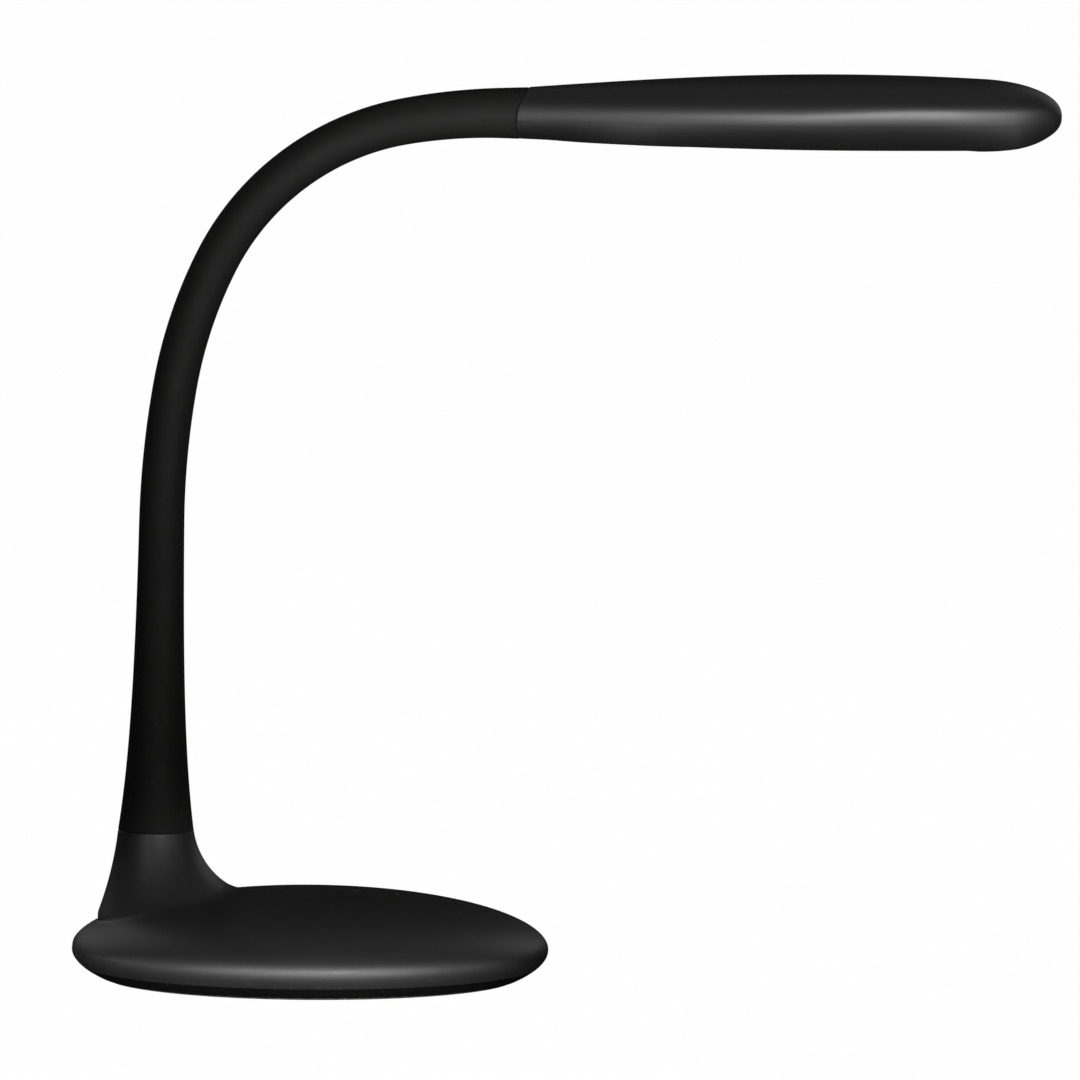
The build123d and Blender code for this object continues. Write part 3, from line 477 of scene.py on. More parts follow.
def quads(index: Array, closed: bool) -> Array:
    """Four corners of each face between neighbours in an index grid, closed across columns or not."""
    if closed:
        index = np.concatenate([index, index[:, :1]], axis=1)
    return np.stack([index[:-1, :-1], index[:-1, 1:], index[1:, 1:], index[1:, :-1]], axis=-1).reshape(-1, 4)


def numbered(grid: Array) -> Array:
    """Index of each point of a grid."""
    return np.arange(grid.shape[0] * grid.shape[1]).reshape(grid.shape[:2])


def skinned(grid: Array) -> tuple[Array, Array]:
    """Points in one list, and faces, of a grid whose columns run round and join."""
    return grid.reshape(-1, 3), quads(numbered(grid), True)


def lathe(profile: Array, centre: tuple[float, float], columns: int) -> Array:
    """Grid of a turned form: each (radius, height) of the profile goes round the centre as a circle."""
    turn, radius = around(columns), profile[:, :1]
    return spread(centre[0] + radius * np.cos(turn), centre[1] + radius * np.sin(turn), profile[:, 1:])


def rounded(outer: Array, inner: Array, edge: float | Array, side: Side, steps: int = 3
            ) -> tuple[Array, Array]:
    """Rounds one edge of a wall over.

    The edge's row becomes a quarter circle: the corner plus edge * ((1 - sin a) along the skin
    + (1 - cos a) through the wall), with a from 90 degrees to 0, and one more row guards the skin's shading.

    Args:
        outer: grid of the wall's outer skin.
        inner: grid of its inner skin, of the same shape.
        edge: radius in millimetres, one or one per point.
        side: which edge of the grid.
        steps: faces across the rounding.

    Returns:
        Both grids with the added rows.
    """
    axis, way = side.value
    skin, back = (np.moveaxis(grid, axis, 0)[::way] for grid in (outer, inner))
    first = np.linalg.norm(skin[1] - skin[0], axis=-1, keepdims=True)
    along, through = unit(skin[1] - skin[0]), unit(back[0] - skin[0])
    turn = np.linspace(pi / 2, 0, steps + 1)[:, None, None]
    rows = skin[0] + edge * (along * (1 - np.sin(turn)) + through * (1 - np.cos(turn)))
    guard = skin[:1] + np.minimum(1.6 * edge, 0.8 * first) * along
    skin = np.concatenate([rows, guard, skin[1:]])
    back = np.concatenate([np.repeat(back[:1], steps + 2, axis=0), back[1:]])
    return np.moveaxis(skin[::way], 0, axis), np.moveaxis(back[::way], 0, axis)


def wall(outer: Array, inner: Array, closed: bool, first_rim: bool = True) -> tuple[Array, Array]:
    """Closed wall between two skins.

    Args:
        outer: grid of the outer skin.
        inner: grid of the inner skin, of the same shape.
        closed: whether the columns run round and join.
        first_rim: whether a face joins the skins at the first row; a pole needs none.

    Returns:
        Points in one list, and faces.
    """
    index = numbered(outer)
    back = index + index.size
    faces = [quads(index, closed), quads(back, closed)[:, ::-1]]
    if first_rim:
        faces.append(quads(np.stack([back[0], index[0]]), closed))
    faces.append(quads(np.stack([index[-1], back[-1]]), closed))
    if not closed:
        faces.append(quads(np.stack([index[:, 0], back[:, 0]]), False))
        faces.append(quads(np.stack([back[:, -1], index[:, -1]]), False))
    return np.concatenate([outer.reshape(-1, 3), inner.reshape(-1, 3)]), np.concatenate(faces)


def placed(name: str, data: bpy.types.ID) -> Piece:
    """Makes an object of a mesh, lamp or camera and puts it in the scene."""
    made = bpy.data.objects.new(name, data)
    bpy.context.scene.collection.objects.link(made)
    return made


def merged(name: str, points: Array, faces: Array) -> tuple[bpy.types.Mesh, int]:
    """Mesh with its doubles merged and its faces turned outwards.

    Args:
        name: its name.
        points: corners in millimetres.
        faces: four corners of each face; faces that shrink to a pole or a line are merged away.

    Returns:
        The mesh, and how many of its edges don't join two faces.
    """
    mesh = bpy.data.meshes.new(name)
    mesh.from_pydata((points * MM).tolist(), [], faces.tolist())
    work = bmesh.new()
    work.from_mesh(mesh)
    bmesh.ops.remove_doubles(work, verts=work.verts, dist=MERGE)
    bmesh.ops.recalc_face_normals(work, faces=work.faces)
    work.to_mesh(mesh)
    odd = sum(len(edge.link_faces) != 2 for edge in work.edges)
    work.free()
    return mesh, odd


def smoothed(mesh: bpy.types.Mesh) -> None:
    """Shades a mesh smooth, but for its creases."""
    mesh.shade_smooth()
    mesh.set_sharp_from_angle(angle=radians(CREASE))


def piece(name: str, points: Array, faces: Array, slot: str) -> Piece:
    """Makes an object of the lamp.

    Args:
        name: its name.
        points: corners in millimetres.
        faces: four corners of each face.
        slot: the record's material slot whose finish it takes.

    Returns:
        The object, at the origin, with its finish.
    """
    mesh, odd = merged(name, points, faces)
    smoothed(mesh)
    made = placed(name, mesh)
    mesh.materials.append(FINISHES[slot].material())
    log.info("%s: %d faces, %d open or crossed edges", name, len(mesh.polygons), odd)
    return made


def cut(target: Piece, points: Array, faces: Array) -> None:
    """Takes a closed form out of a piece and keeps the result as the piece's mesh.

    Args:
        target: the piece.
        points: corners of the form, in millimetres.
        faces: four corners of each of its faces.
    """
    mesh, _ = merged("cutter", points, faces)
    cutter = placed("cutter", mesh)
    step = target.modifiers.new("opening", "BOOLEAN")
    step.operation, step.solver, step.object = "DIFFERENCE", "EXACT", cutter
    bpy.context.view_layer.update()
    made = bpy.data.meshes.new_from_object(target.evaluated_get(bpy.context.evaluated_depsgraph_get()))
    target.modifiers.clear()
    old, target.data = target.data, made
    made.name = target.name
    smoothed(made)
    bpy.data.objects.remove(cutter)
    bpy.data.meshes.remove(mesh)
    bpy.data.meshes.remove(old)


# --------------------------------------------------------------------------- neck
@dataclass
class NeckLine:
    """Centre line of the neck: straight up from the foot, then tangent arcs, then level."""

    start_x: float = -60.4
    start_z: float = 57.8
    lean: float = 0.73
    straight: float = 120.7
    bends: tuple[tuple[float, float], ...] = ((54.0, 9.0), (51.0, 16.5), (95.5, 53.4))
    last_bend: float = 38.5
    end_run: float = 7.8
    steps: int = 8000
    length: float = field(init=False)

    def __post_init__(self) -> None:
        """Works out heading and place at close steps: place is the running sum of sin and cos of heading."""
        turns = [turn for _, turn in self.bends]
        runs = [self.straight, *[run for run, _ in self.bends], self.last_bend, self.end_run]
        heads = np.cumsum([self.lean, 0.0, *turns, 90 - self.lean - sum(turns), 0.0])
        knots = np.cumsum([0.0, *runs])
        self.length = float(knots[-1])
        self._reach = np.linspace(0, self.length, self.steps + 1)
        self._heading = np.radians(np.interp(self._reach, knots, heads))
        step = self._reach[1]
        self._x = self.start_x + self._sum(np.sin(self._heading)) * step
        self._z = self.start_z + self._sum(np.cos(self._heading)) * step

    @staticmethod
    def _sum(values: Array) -> Array:
        """Running sum by the trapezium rule, from 0."""
        return np.concatenate([[0.0], np.cumsum((values[1:] + values[:-1]) / 2)])

    def ring(self, reach: Array, turn: Array | float, radius: Array | float) -> Array:
        """Points about the centre line.

        place(reach) + radius * (cos(turn) * outward + sin(turn) * sideways), where outward is square
        to the line on the outer side of the arch; past its ends the line runs on straight.

        Args:
            reach: distance from the foot, in millimetres.
            turn: angle about the line.
            radius: distance from it.

        Returns:
            Points of the arrays' common shape.
        """
        inside = np.clip(reach, 0, self.length)
        heading = np.interp(inside, self._reach, self._heading)
        past = reach - inside
        x = np.interp(inside, self._reach, self._x) + past * np.sin(heading)
        z = np.interp(inside, self._reach, self._z) + past * np.cos(heading)
        side = radius * np.cos(turn)
        return spread(x - side * np.cos(heading), radius * np.sin(turn), z + side * np.sin(heading))

    def point(self, reach: Array | float) -> Array:
        """Places on the centre line, in millimetres."""
        return self.ring(reach, 0.0, 0.0)


@dataclass
class EndJoint:
    """Curved joint between sleeve and head: a cylinder along Y, hollow towards the head."""

    radius: float = 18.3
    forward: float = 15.3
    drop: float = 2.7
    gap: float = 0.15

    def reach(self, height: Array, gap: float = 0.0) -> Array:
        """Distance past the joint's middle at a height above the head's axis."""
        return self.forward - np.sqrt((self.radius + gap) ** 2 - (height + self.drop) ** 2)


@dataclass
class Neck:
    """Soft sleeve over the bendable core, skinned in lengths that each cross one joint.

    Sizes are in millimetres. At the hooked bends two lengths meet, each riding on one body and pulled
    to the other; the other lengths are not bent, and at the turned bends only their two bodies are swapped.
    """

    line: NeckLine
    joint: EndJoint
    slim_radius: float = 8.4
    foot_radius: float = 14.8
    head_radius: float = 10.1
    foot_swell: float = 45.0
    head_swell: float = 50.0
    bore: float = 7.3
    foot_bore: float = 8.5
    foot_grip: float = 14.1
    head_bore: float = 8.0
    head_grip: float = 9.1
    foot_edge: float = 0.35
    head_edge: float = 0.3
    tongue_radius: float = 8.25
    tongue: float = 0.8
    bend_points: int = 12
    first_bend: float = 26.0
    last_bend_back: float = 24.0
    lead_radius: float = 2.0
    lead_exit: float = 19.0
    lead_turn: float = 7.0
    lead_run: float = 18.5
    lead_into_head: float = 46.0
    lead_bend_run: float = 5.0
    lead_sides: int = 14
    rows: int = 26
    hooked_rows: int = 14
    turned_bends: tuple[int, ...] = (3, 6)
    hooked_bends: tuple[int, ...] = (9, 10)
    hooked_gap: float = 0.01

    def __post_init__(self) -> None:
        """Works out the bend points and the bodies on each side of them."""
        self.pitch = (self.line.length - self.first_bend - self.last_bend_back) / (self.bend_points - 1)
        self.bends = self.first_bend + self.pitch * np.arange(self.bend_points)
        self.bodies = ["base", *[f"neck_link_{i:02d}" for i in range(1, self.bend_points)], "head"]

    def radius(self, reach: Array) -> Array:
        """Sleeve radius: slim, plus swells that fall off exponentially from foot and head."""
        foot, head = self.foot_radius - self.slim_radius, self.head_radius - self.slim_radius
        return (self.slim_radius + foot * np.exp(-reach / self.foot_swell)
                + head * np.exp((reach - self.line.length) / self.head_swell))

    def hollow(self, reach: Array) -> Array:
        """Radius inside the sleeve: wider where it slips over the ferrules at both ends."""
        return np.where(reach < self.foot_grip, self.foot_bore,
                        np.where(reach > self.line.length - self.head_grip, self.head_bore, self.bore))

    def tongue_end(self, turn: Array, steps: int = 3) -> tuple[Array, Array]:
        """Rows that round the sleeve's last edge and go on into a thin tongue under the head's covers.

        Args:
            turn: angle of each column.
            steps: faces across the rounding.

        Returns:
            Outer and inner rows.
        """
        angle = np.linspace(0, pi / 2, steps + 1)[1:, None]
        radius = np.concatenate([self.head_radius - self.head_edge * (1 - np.cos(angle)),
                                 np.full((2, 1), self.tongue_radius)])
        past = np.concatenate([self.head_edge * (np.sin(angle) - 1), [[0.0], [self.tongue]]])
        reach = self.line.length + past + self.joint.reach(radius * np.cos(turn), self.joint.gap)
        return self.line.ring(reach, turn, radius), self.line.ring(reach, turn, self.head_bore)

    def spans(self, index: int) -> list[tuple[str, float, float, int]]:
        """Lengths that cross a bend point: one that spans it, or two that meet there and are hooked.

        Args:
            index: number of the bend point.

        Returns:
            For each length the end of its name, where it starts and ends, and which of the two bodies
            carries it.
        """
        bend = float(self.bends[index])
        start = 0.0 if index == 0 else bend - self.pitch / 2
        end = self.line.length if index == self.bend_points - 1 else bend + self.pitch / 2
        if index in self.hooked_bends:
            return [(f"{index:02d}_near", start, bend - self.hooked_gap, 0),
                    (f"{index:02d}_far", bend + self.hooked_gap, end, 1)]
        return [(f"{index:02d}", start, end, 0)]

    def crossing(self, made: Piece, index: int, carrier: int, run: float) -> None:
        """Bends a hooked piece across a bend point; any other piece only has its place baked into its mesh.

        A hooked piece rides on its carrier and is pulled to the body on the other side by a share that
        rises as 3 t^2 - 2 t^3 over the run.

        Args:
            made: the piece.
            index: number of the bend point.
            carrier: which of the two bodies carries it, 0 or 1.
            run: how far on each side of the bend point a hooked piece bends.
        """
        start, end = (self.line.point(self.bends[index] + way * run) * MM for way in (-1, 1))
        first, second = self.bodies[index], self.bodies[index + 1]
        if index not in self.hooked_bends:
            if index in self.turned_bends:
                first, second, start, end = second, first, end, start
            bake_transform(made)
            return
        places = np.array([corner.co for corner in made.data.vertices])
        share = ease((places - start) @ (end - start) / ((end - start) @ (end - start)), 0, 1)
        pull = made.vertex_groups.new(name="pull")
        for number, weight in enumerate(share if carrier == 0 else 1 - share):
            pull.add([number], float(weight), "REPLACE")
        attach(made, (first, second)[carrier])
        hook = made.modifiers.new("neck_bend", "HOOK")
        hook.object = frame["bodies"][(second, first)[carrier]]
        hook.vertex_group = pull.name
        hook.falloff_type = "NONE"
        hook.matrix_inverse = Matrix.Identity(4)

    def skin(self, index: int, span: tuple[str, float, float, int], columns: int = 72) -> None:
        """Builds one length of the sleeve, from the middle of a link to the next one's or to the bend.

        Args:
            index: number of the bend point.
            span: the length, as spans gives it.
            columns: faces round the sleeve.
        """
        label, start, end, carrier = span
        turn = around(columns)[None, :]
        rows = self.hooked_rows if index in self.hooked_bends else self.rows
        share = np.linspace(0, 1, rows)[:, None]
        last = index == self.bend_points - 1
        if last:
            end = end + self.joint.reach(self.head_radius * np.cos(turn), self.joint.gap) - self.head_edge
        reach = start + (end - start) * share
        radius = self.radius(reach)
        outer = self.line.ring(reach, turn, np.minimum(radius, self.head_radius) if last else radius)
        inner = self.line.ring(reach, turn, self.hollow(reach))
        if index == 0:
            outer, inner = rounded(outer, inner, self.foot_edge, Side.FIRST_ROW)
        if last:
            outer, inner = (np.concatenate(both) for both in zip((outer, inner), self.tongue_end(turn)))
        made = piece(f"sleeve_skin_{label}", *wall(outer, inner, True), "sleeve_black")
        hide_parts(f"neck_sleeve_{index:02d}", *(["neck_sleeve_12"] if last else []))
        self.crossing(made, index, carrier, self.pitch / 2)

    def lead_length(self, name: str, route: Array, across: Array) -> Piece:
        """Round lead along a route in the XZ plane: centre + radius * (cos * across + sin * Y).

        Args:
            name: the piece's name.
            route: points of its centre line.
            across: unit vectors square to it, in the XZ plane.

        Returns:
            The lead, with closed ends.
        """
        turn = around(self.lead_sides)[None, :, None]
        ring = route[:, None] + self.lead_radius * (np.cos(turn) * across[:, None] + np.sin(turn) * SIDEWAYS)
        ends = [np.broadcast_to(route[i], ring[:1].shape) for i in (0, -1)]
        made = piece(name, *skinned(np.concatenate([ends[0], ring, ends[1]])), "lead_jacket")
        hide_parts("neck_lead")
        return made

    def leads(self) -> None:
        """The lead inside the neck: its tail in the base, a length across each bend, its end in the head."""
        turn = np.linspace(-pi / 2, -pi, 12)
        x, z = self.line.start_x, self.lead_exit
        tail = np.concatenate([
            [[x + self.lead_run, 0, z]],
            spread(x + self.lead_turn * (1 + np.cos(turn)), 0.0, z + self.lead_turn * (1 + np.sin(turn))),
            [[x, 0, self.line.start_z]]])
        ahead = unit(np.gradient(tail, axis=0))
        across = spread(-ahead[:, 2], 0.0, ahead[:, 0])
        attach(self.lead_length("neck_lead_tail", tail, across), "base")
        for index in range(self.bend_points):
            for label, start, end, carrier in self.spans(index):
                reach = np.linspace(start, end, self.rows)
                route = self.line.point(reach)
                made = self.lead_length(f"neck_lead_{label}", route,
                                        unit(self.line.ring(reach, 0.0, 1.0) - route))
                self.crossing(made, index, carrier, self.lead_bend_run)
        route = self.line.point(np.linspace(self.line.length, self.line.length + self.lead_into_head, 4))
        upwards = np.broadcast_to([0.0, 0.0, 1.0], route.shape)
        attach(self.lead_length("neck_lead_end", route, upwards), "head")

    def build(self) -> None:
        """Builds every length of sleeve and lead."""
        for index in range(self.bend_points):
            for span in self.spans(index):
                self.skin(index, span)
        self.leads()


# --------------------------------------------------------------------------- base
@dataclass
class Base:
    """Flattened ball with the flared stem foot, and its power key; sizes are in millimetres."""

    radius: float = 93.1
    half_height: float = 23.0
    equator: float = 11.8
    crown: float = 34.767
    cover_wall: float = 2.5
    rim: float = 5.0
    foot_edge: float = 0.35
    rim_edge: float = 0.2
    stem_x: float = -60.4
    foot_radius: float = 14.8
    foot_height: float = 57.8
    flare_slope: float = 0.14
    front_reach: float = 21.0
    front_drop: float = 24.3
    rear_slope: float = 0.11
    rear_curve: float = 0.004
    rear_drop: float = 34.0
    flare_root: float = 8.0
    flare_steps: int = 180
    root_steps: int = 60
    flare_packing: float = 0.9
    cover_rows: tuple[int, int, int] = (34, 66, 7)
    corner_rows: tuple[int, int] = (8, 6)
    corner_passes: int = 20
    key_x: float = 26.0
    key_radius: float = 8.0
    key_gap: float = 0.3
    key_sink: float = 0.2
    key_dish: float = 0.45
    key_edge: float = 0.5
    key_groove: Triple = (5.6, 0.28, 0.16)
    key_foot: tuple[tuple[float, float], ...] = ((8.0, 30.2), (9.5, 30.2), (9.5, 28.6), (2.6, 28.6),
                                                 (2.6, 20.0), (0.0, 20.0))
    hole_edge: float = 0.4
    hole_depth: float = 8.0
    hole_above: float = 1.5
    port_radius: float = 6.2
    port_run: Triple = (-85.0, -91.6, -95.0)
    port_flare: float = 0.2

    def ball(self, x: Array, y: Array, inset: float = 0.0) -> Array:
        """Height of the ball's upper surface: equator + half height * sqrt(1 - (distance / radius)^2)."""
        share = np.maximum(1 - (x ** 2 + y ** 2) / (self.radius - inset) ** 2, 0)
        return np.minimum(self.equator + (self.half_height - inset) * np.sqrt(share), self.crown)

    def flare(self, turn: Array, inset: float) -> Array:
        """Fine grid of the stem foot's flare.

        Each row is a tilted circle on the line from a front to a rear point. The front point runs out
        along a quarter ellipse, front_reach by front_drop, the rear one along a parabola; after the last
        circle the flare runs straight down by its root.

        Args:
            turn: angles round the foot, 0 at the front.
            inset: how far the surface is sunk.

        Returns:
            Points, rows from the foot's top down.
        """
        angle = np.radians(np.linspace(0, 90, self.flare_steps + 1))
        slip = 1 - np.cos(angle)
        front_fall = self.front_drop * np.sin(angle)
        rear_fall = front_fall + (self.rear_drop - self.front_drop) * slip
        front = spread(self.stem_x + self.foot_radius + self.flare_slope * front_fall
                       + self.front_reach * slip, 0.0, self.foot_height - front_fall)
        rear = spread(self.stem_x - self.foot_radius - self.rear_slope * rear_fall
                      - self.rear_curve * rear_fall ** 2, 0.0, self.foot_height - rear_fall)
        size = np.linalg.norm(front - rear, axis=1)
        across, middle, radius = (front - rear) / size[:, None], (front + rear) / 2, size / 2 - inset
        rows = middle[:, None] + radius[:, None, None] * (
            np.cos(turn)[None, :, None] * across[:, None] + np.sin(turn)[None, :, None] * SIDEWAYS)
        root = middle[-1] + [self.flare_root / 2, 0, -self.flare_root]
        last = root + radius[-1] * spread(np.cos(turn), np.sin(turn), 0.0)
        share = np.linspace(0, 1, self.root_steps)[1:, None, None]
        return np.concatenate([rows, rows[-1:] + (last - rows[-1]) * share])

    def cover_skin(self, turn: Array, inset: float) -> Array:
        """Grid of the cover's surface, from the foot's top over the flare and the ball to the lower rim.

        Each column follows the flare until it enters the ball; from there its plan runs straight to the
        ball's widest ring at the same angle, and its height is the ball's, and then it follows the
        ball's curve down to the rim. The corner between flare and ball is eased by averaging.

        Args:
            turn: angle of each column.
            inset: how far the surface is sunk.

        Returns:
            The grid, with cover_rows on flare, ball and rim.
        """
        flare_rows, ball_rows, rim_rows = self.cover_rows
        radius, half_height = self.radius - inset, self.half_height - inset
        fine = self.flare(turn, inset)
        level = ((np.hypot(fine[..., 0], fine[..., 1]) / radius) ** 2
                 + ((fine[..., 2] - self.equator) / half_height) ** 2 - 1)
        last = np.argmax(level < 0, axis=0)
        column = np.arange(turn.size)
        before, after = level[last - 1, column], level[last, column]
        stop = last - 1 + before / (before - after)
        place = np.linspace(0, 1, flare_rows)[:, None] ** self.flare_packing * stop
        lower = np.minimum(place.astype(int), fine.shape[0] - 2)
        share = (place - lower)[..., None]
        flare = fine[lower, column] * (1 - share) + fine[lower + 1, column] * share
        start = flare[-1, :, :2]
        outer = radius * np.stack([np.cos(turn), np.sin(turn)], axis=-1)
        run = np.sin(np.linspace(0, pi / 2, ball_rows + 1)[1:])[:, None, None]
        plan = start + (outer - start) * run
        top = spread(plan[..., 0], plan[..., 1], self.ball(plan[..., 0], plan[..., 1], inset))
        fall = np.arcsin((self.equator - self.rim) / half_height)
        angle = np.linspace(0, fall, rim_rows + 1)[1:, None]
        low = spread(radius * np.cos(angle) * np.cos(turn), radius * np.cos(angle) * np.sin(turn),
                     self.equator - half_height * np.sin(angle))
        grid = np.concatenate([flare, top, low])
        first, stop = flare_rows - self.corner_rows[0], flare_rows + self.corner_rows[1]
        for _ in range(self.corner_passes):
            grid[first:stop] = (grid[first - 1:stop - 1] + 2 * grid[first:stop]
                                + grid[first + 1:stop + 1]) / 4
        return grid

    def cover(self, columns: int = 216) -> Piece:
        """The cover: a wall with rounded rims, the key's hole and the inlet's port."""
        turn = around(columns)
        outer, inner = self.cover_skin(turn, 0.0), self.cover_skin(turn, self.cover_wall)
        outer, inner = rounded(outer, inner, self.foot_edge, Side.FIRST_ROW)
        outer, inner = rounded(outer, inner, self.rim_edge, Side.LAST_ROW)
        made = piece("base_shell", *wall(outer, inner, True), "cover_black")
        self.cut_key_hole(made)
        self.cut_port(made)
        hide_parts("base_cover")
        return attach(made, "base")

    def cut_key_hole(self, made: Piece) -> None:
        """Cuts a round hole whose upper edge flares out in a quarter circle about the ball's surface."""
        hole, edge = self.key_radius + self.key_gap, self.hole_edge
        arc = np.linspace(0, pi / 2, 6)
        profile = np.concatenate([
            [[0, -self.hole_depth], [hole, -self.hole_depth]],
            np.stack([hole + edge * (1 - np.cos(arc)), edge * (np.sin(arc) - 1)], axis=1),
            [[hole + edge + 0.3, self.hole_above], [0, self.hole_above]]])
        grid = lathe(profile, (self.key_x, 0.0), 96)
        grid[..., 2] += self.ball(grid[..., 0], grid[..., 1])
        cut(made, *skinned(grid))

    def cut_port(self, made: Piece) -> None:
        """Cuts the inlet's port, a round bar along X with a flared mouth."""
        turn = around(72)[None, :]
        inside, mouth, past = self.port_run
        along = np.array([[inside], [inside], [mouth], [past], [past]])
        radius = self.port_radius * np.array([[0.0], [1.0], [1.0], [1.0], [0.0]])
        radius[3] += self.port_flare
        grid = spread(along, radius * np.cos(turn), self.equator + radius * np.sin(turn))
        cut(made, *skinned(grid))

    def key(self, columns: int = 96) -> Piece:
        """The power key: a dished disc that follows the ball, on its flange and stem."""
        inner = np.linspace(0, self.key_radius - 0.6, 16)
        place, width, depth = self.key_groove
        dish = -self.key_dish * (1 - (inner / self.key_radius) ** 2) ** 2
        groove = -depth * np.exp(-((inner - place) / width) ** 2)
        arc = np.linspace(0, pi / 2, 6)
        edge = np.stack([self.key_radius - self.key_edge * (1 - np.sin(arc)),
                         self.key_edge * (np.cos(arc) - 1)], axis=1)
        top = np.concatenate([np.stack([inner, dish + groove], axis=1), edge])
        grid = lathe(top, (self.key_x, 0.0), columns)
        grid[..., 2] += self.ball(grid[..., 0], grid[..., 1]) - self.key_sink
        foot = lathe(np.array(self.key_foot), (self.key_x, 0.0), columns)
        made = piece("key_cap", *skinned(np.concatenate([grid, foot])), "key_black")
        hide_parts("power_key")
        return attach(made, "power_key")

    def build(self) -> None:
        """Builds cover and key; pan, pad and what lies inside stay as they are."""
        self.cover()
        self.key()


# --------------------------------------------------------------------------- head
@dataclass
class Head:
    """Slim rounded head: two covers that meet below its axis, and the diffuser in its window."""

    line: NeckLine
    joint: EndJoint
    length: float = 209.6
    end_radius: float = 10.1
    swell: float = 4.6
    spread_out: float = 18.4
    period: float = 260.0
    arch: float = 1.2
    tip_height_run: float = 31.5
    tip_width_run: float = 44.0
    tip_power: float = 2.3
    cover_wall: float = 1.8
    cover_edge: float = 0.3
    parting_drop: float = 2.6
    window_start: float = 50.0
    window_end: float = 186.0
    window_width: float = 30.0
    window_gap: float = 0.12
    window_edge: float = 0.25
    lens_sink: float = 0.45
    lens_wall: float = 1.6
    seam_reach: float = 9.0
    seam_width: float = 0.085
    seam_edges: tuple[float, float] = (0.003, 0.17)
    least_width: float = 20.0
    flat: float = 0.955
    flat_from: tuple[float, float] = (8, 44)
    flat_to: tuple[float, float] = (188, 206)
    flat_power: float = 60
    low_ridge: float = -0.3
    high_ridge: float = 2.5
    ridge_runs: tuple[float, float, float] = (45, 95, 160)
    screw_places: tuple[tuple[float, float], ...] = ((34.0, 9.0), (34.0, -9.0), (196.0, 0.0))
    screw_hole: float = 2.4
    screw_seat: float = 8.6
    screw_below: float = 25.0

    def __post_init__(self) -> None:
        """Takes the head's joint from the end of the neck's line."""
        self.x, _, self.z = self.line.point(self.line.length)

    def radii(self, reach: Array, inset: float = 0.0) -> tuple[Array, Array]:
        """Half width and half height: a sine swell over the length, times a superellipse at the tip.

        Args:
            reach: distance past the joint's middle.
            inset: how far the surface is sunk.

        Returns:
            Half width and half height.
        """
        wave = np.sin(pi * reach / self.period)

        def tip(run: float) -> Array:
            """Rounding of the last run: (1 - share^power)^(1 / power)."""
            into = np.clip((reach - self.length + inset + run) / run, 0, 1)
            return (1 - into ** self.tip_power) ** (1 / self.tip_power)

        return ((self.end_radius + self.spread_out * wave - inset) * tip(self.tip_width_run),
                (self.end_radius + self.swell * wave - inset) * tip(self.tip_height_run))

    def halves(self, reach: Array, inset: float = 0.0) -> tuple[Array, Array, Array, Array]:
        """Section at a distance.

        The widest line lies off the centre line by a shift that eases from below it to above it along
        the head. Along the window the depth grows by flat / sqrt(1 - (window / width)^2), so that the
        ellipse meets the flat at the window's edge.

        Args:
            reach: distance past the joint's middle.
            inset: how far the surface is sunk.

        Returns:
            Half width, height above and depth below the widest line, and that line's rise.
        """
        width, height = self.radii(reach, inset)
        ends = height / np.maximum(height.max(), 1e-6)
        low_run, *high_run = self.ridge_runs
        shift = (self.low_ridge * ease(reach, 0, low_run)
                 - (self.low_ridge + self.high_ridge) * ease(reach, *high_run)) * np.minimum(1, 1.6 * ends)
        across = self.window_width / 2 / np.maximum(self.radii(reach)[0], self.least_width)
        full = 1 + (self.flat / np.sqrt(1 - across ** 2) - 1) * self.share_full(reach)
        return width, height + shift, height * full - shift, self.axis(reach) - shift

    def axis(self, reach: Array) -> Array:
        """Rise of the head's centre line above its joint: arch * sin(pi * reach / length)."""
        return self.arch * np.sin(pi * np.clip(reach, 0, self.length) / self.length)

    def seam(self, reach: Array) -> Array:
        """How open the covers' seam is: 1 at the joint, 0 from a little way along."""
        return np.clip(1 - (reach + 3) / self.seam_reach, 0, 1)

    def seam_edge(self, x: Array) -> Array:
        """Rounding of the edges at the seam: it fades out as the seam closes."""
        least, more = self.seam_edges
        return least + more * self.seam(x - self.x)[:, None]

    def parting(self, reach: Array, side: float, inset: float = 0.0) -> Array:
        """Angle below the axis of a cover's lower or upper edge; side is 1 for the top cover."""
        _, _, depth, line = self.halves(reach, inset)
        drop = self.parting_drop + line - side * self.seam_width * self.seam(reach) ** 0.7
        return np.arcsin(np.clip(drop / np.maximum(depth, 1e-6), 0, 0.97))

    def share_full(self, reach: Array) -> Array:
        """How full and flat the underside is: 1 along the window, eased to 0 towards joint and tip."""
        return ease(reach, *self.flat_from) * (1 - ease(reach, *self.flat_to))

    def surface(self, reach: Array, angle: Array, inset: float = 0.0) -> Array:
        """Points at an angle up from the head's widest line: width * cos, and height or depth * sin."""
        width, height, depth, line = self.halves(reach, inset)
        rise = np.sin(angle) * np.where(np.sin(angle) < 0, depth, height)
        return spread(self.x + reach, width * np.cos(angle), self.z + line + rise)

    def joint_curve(self, start: Array, angle_of: Callable[[Array], Array], inset: float, rounds: int
                    ) -> tuple[Array, Array]:
        """Where a cover meets the joint: each round sets the distance from the height at the last one.

        Args:
            start: distance to begin with.
            angle_of: angle at a distance.
            inset: how far the surface is sunk.
            rounds: how often to try.

        Returns:
            Distance past the joint's middle, and angle.
        """
        for _ in range(rounds):
            angle = angle_of(start)
            start = self.joint.reach(self.surface(start, angle, inset)[..., 2] - self.z)
        return start, angle

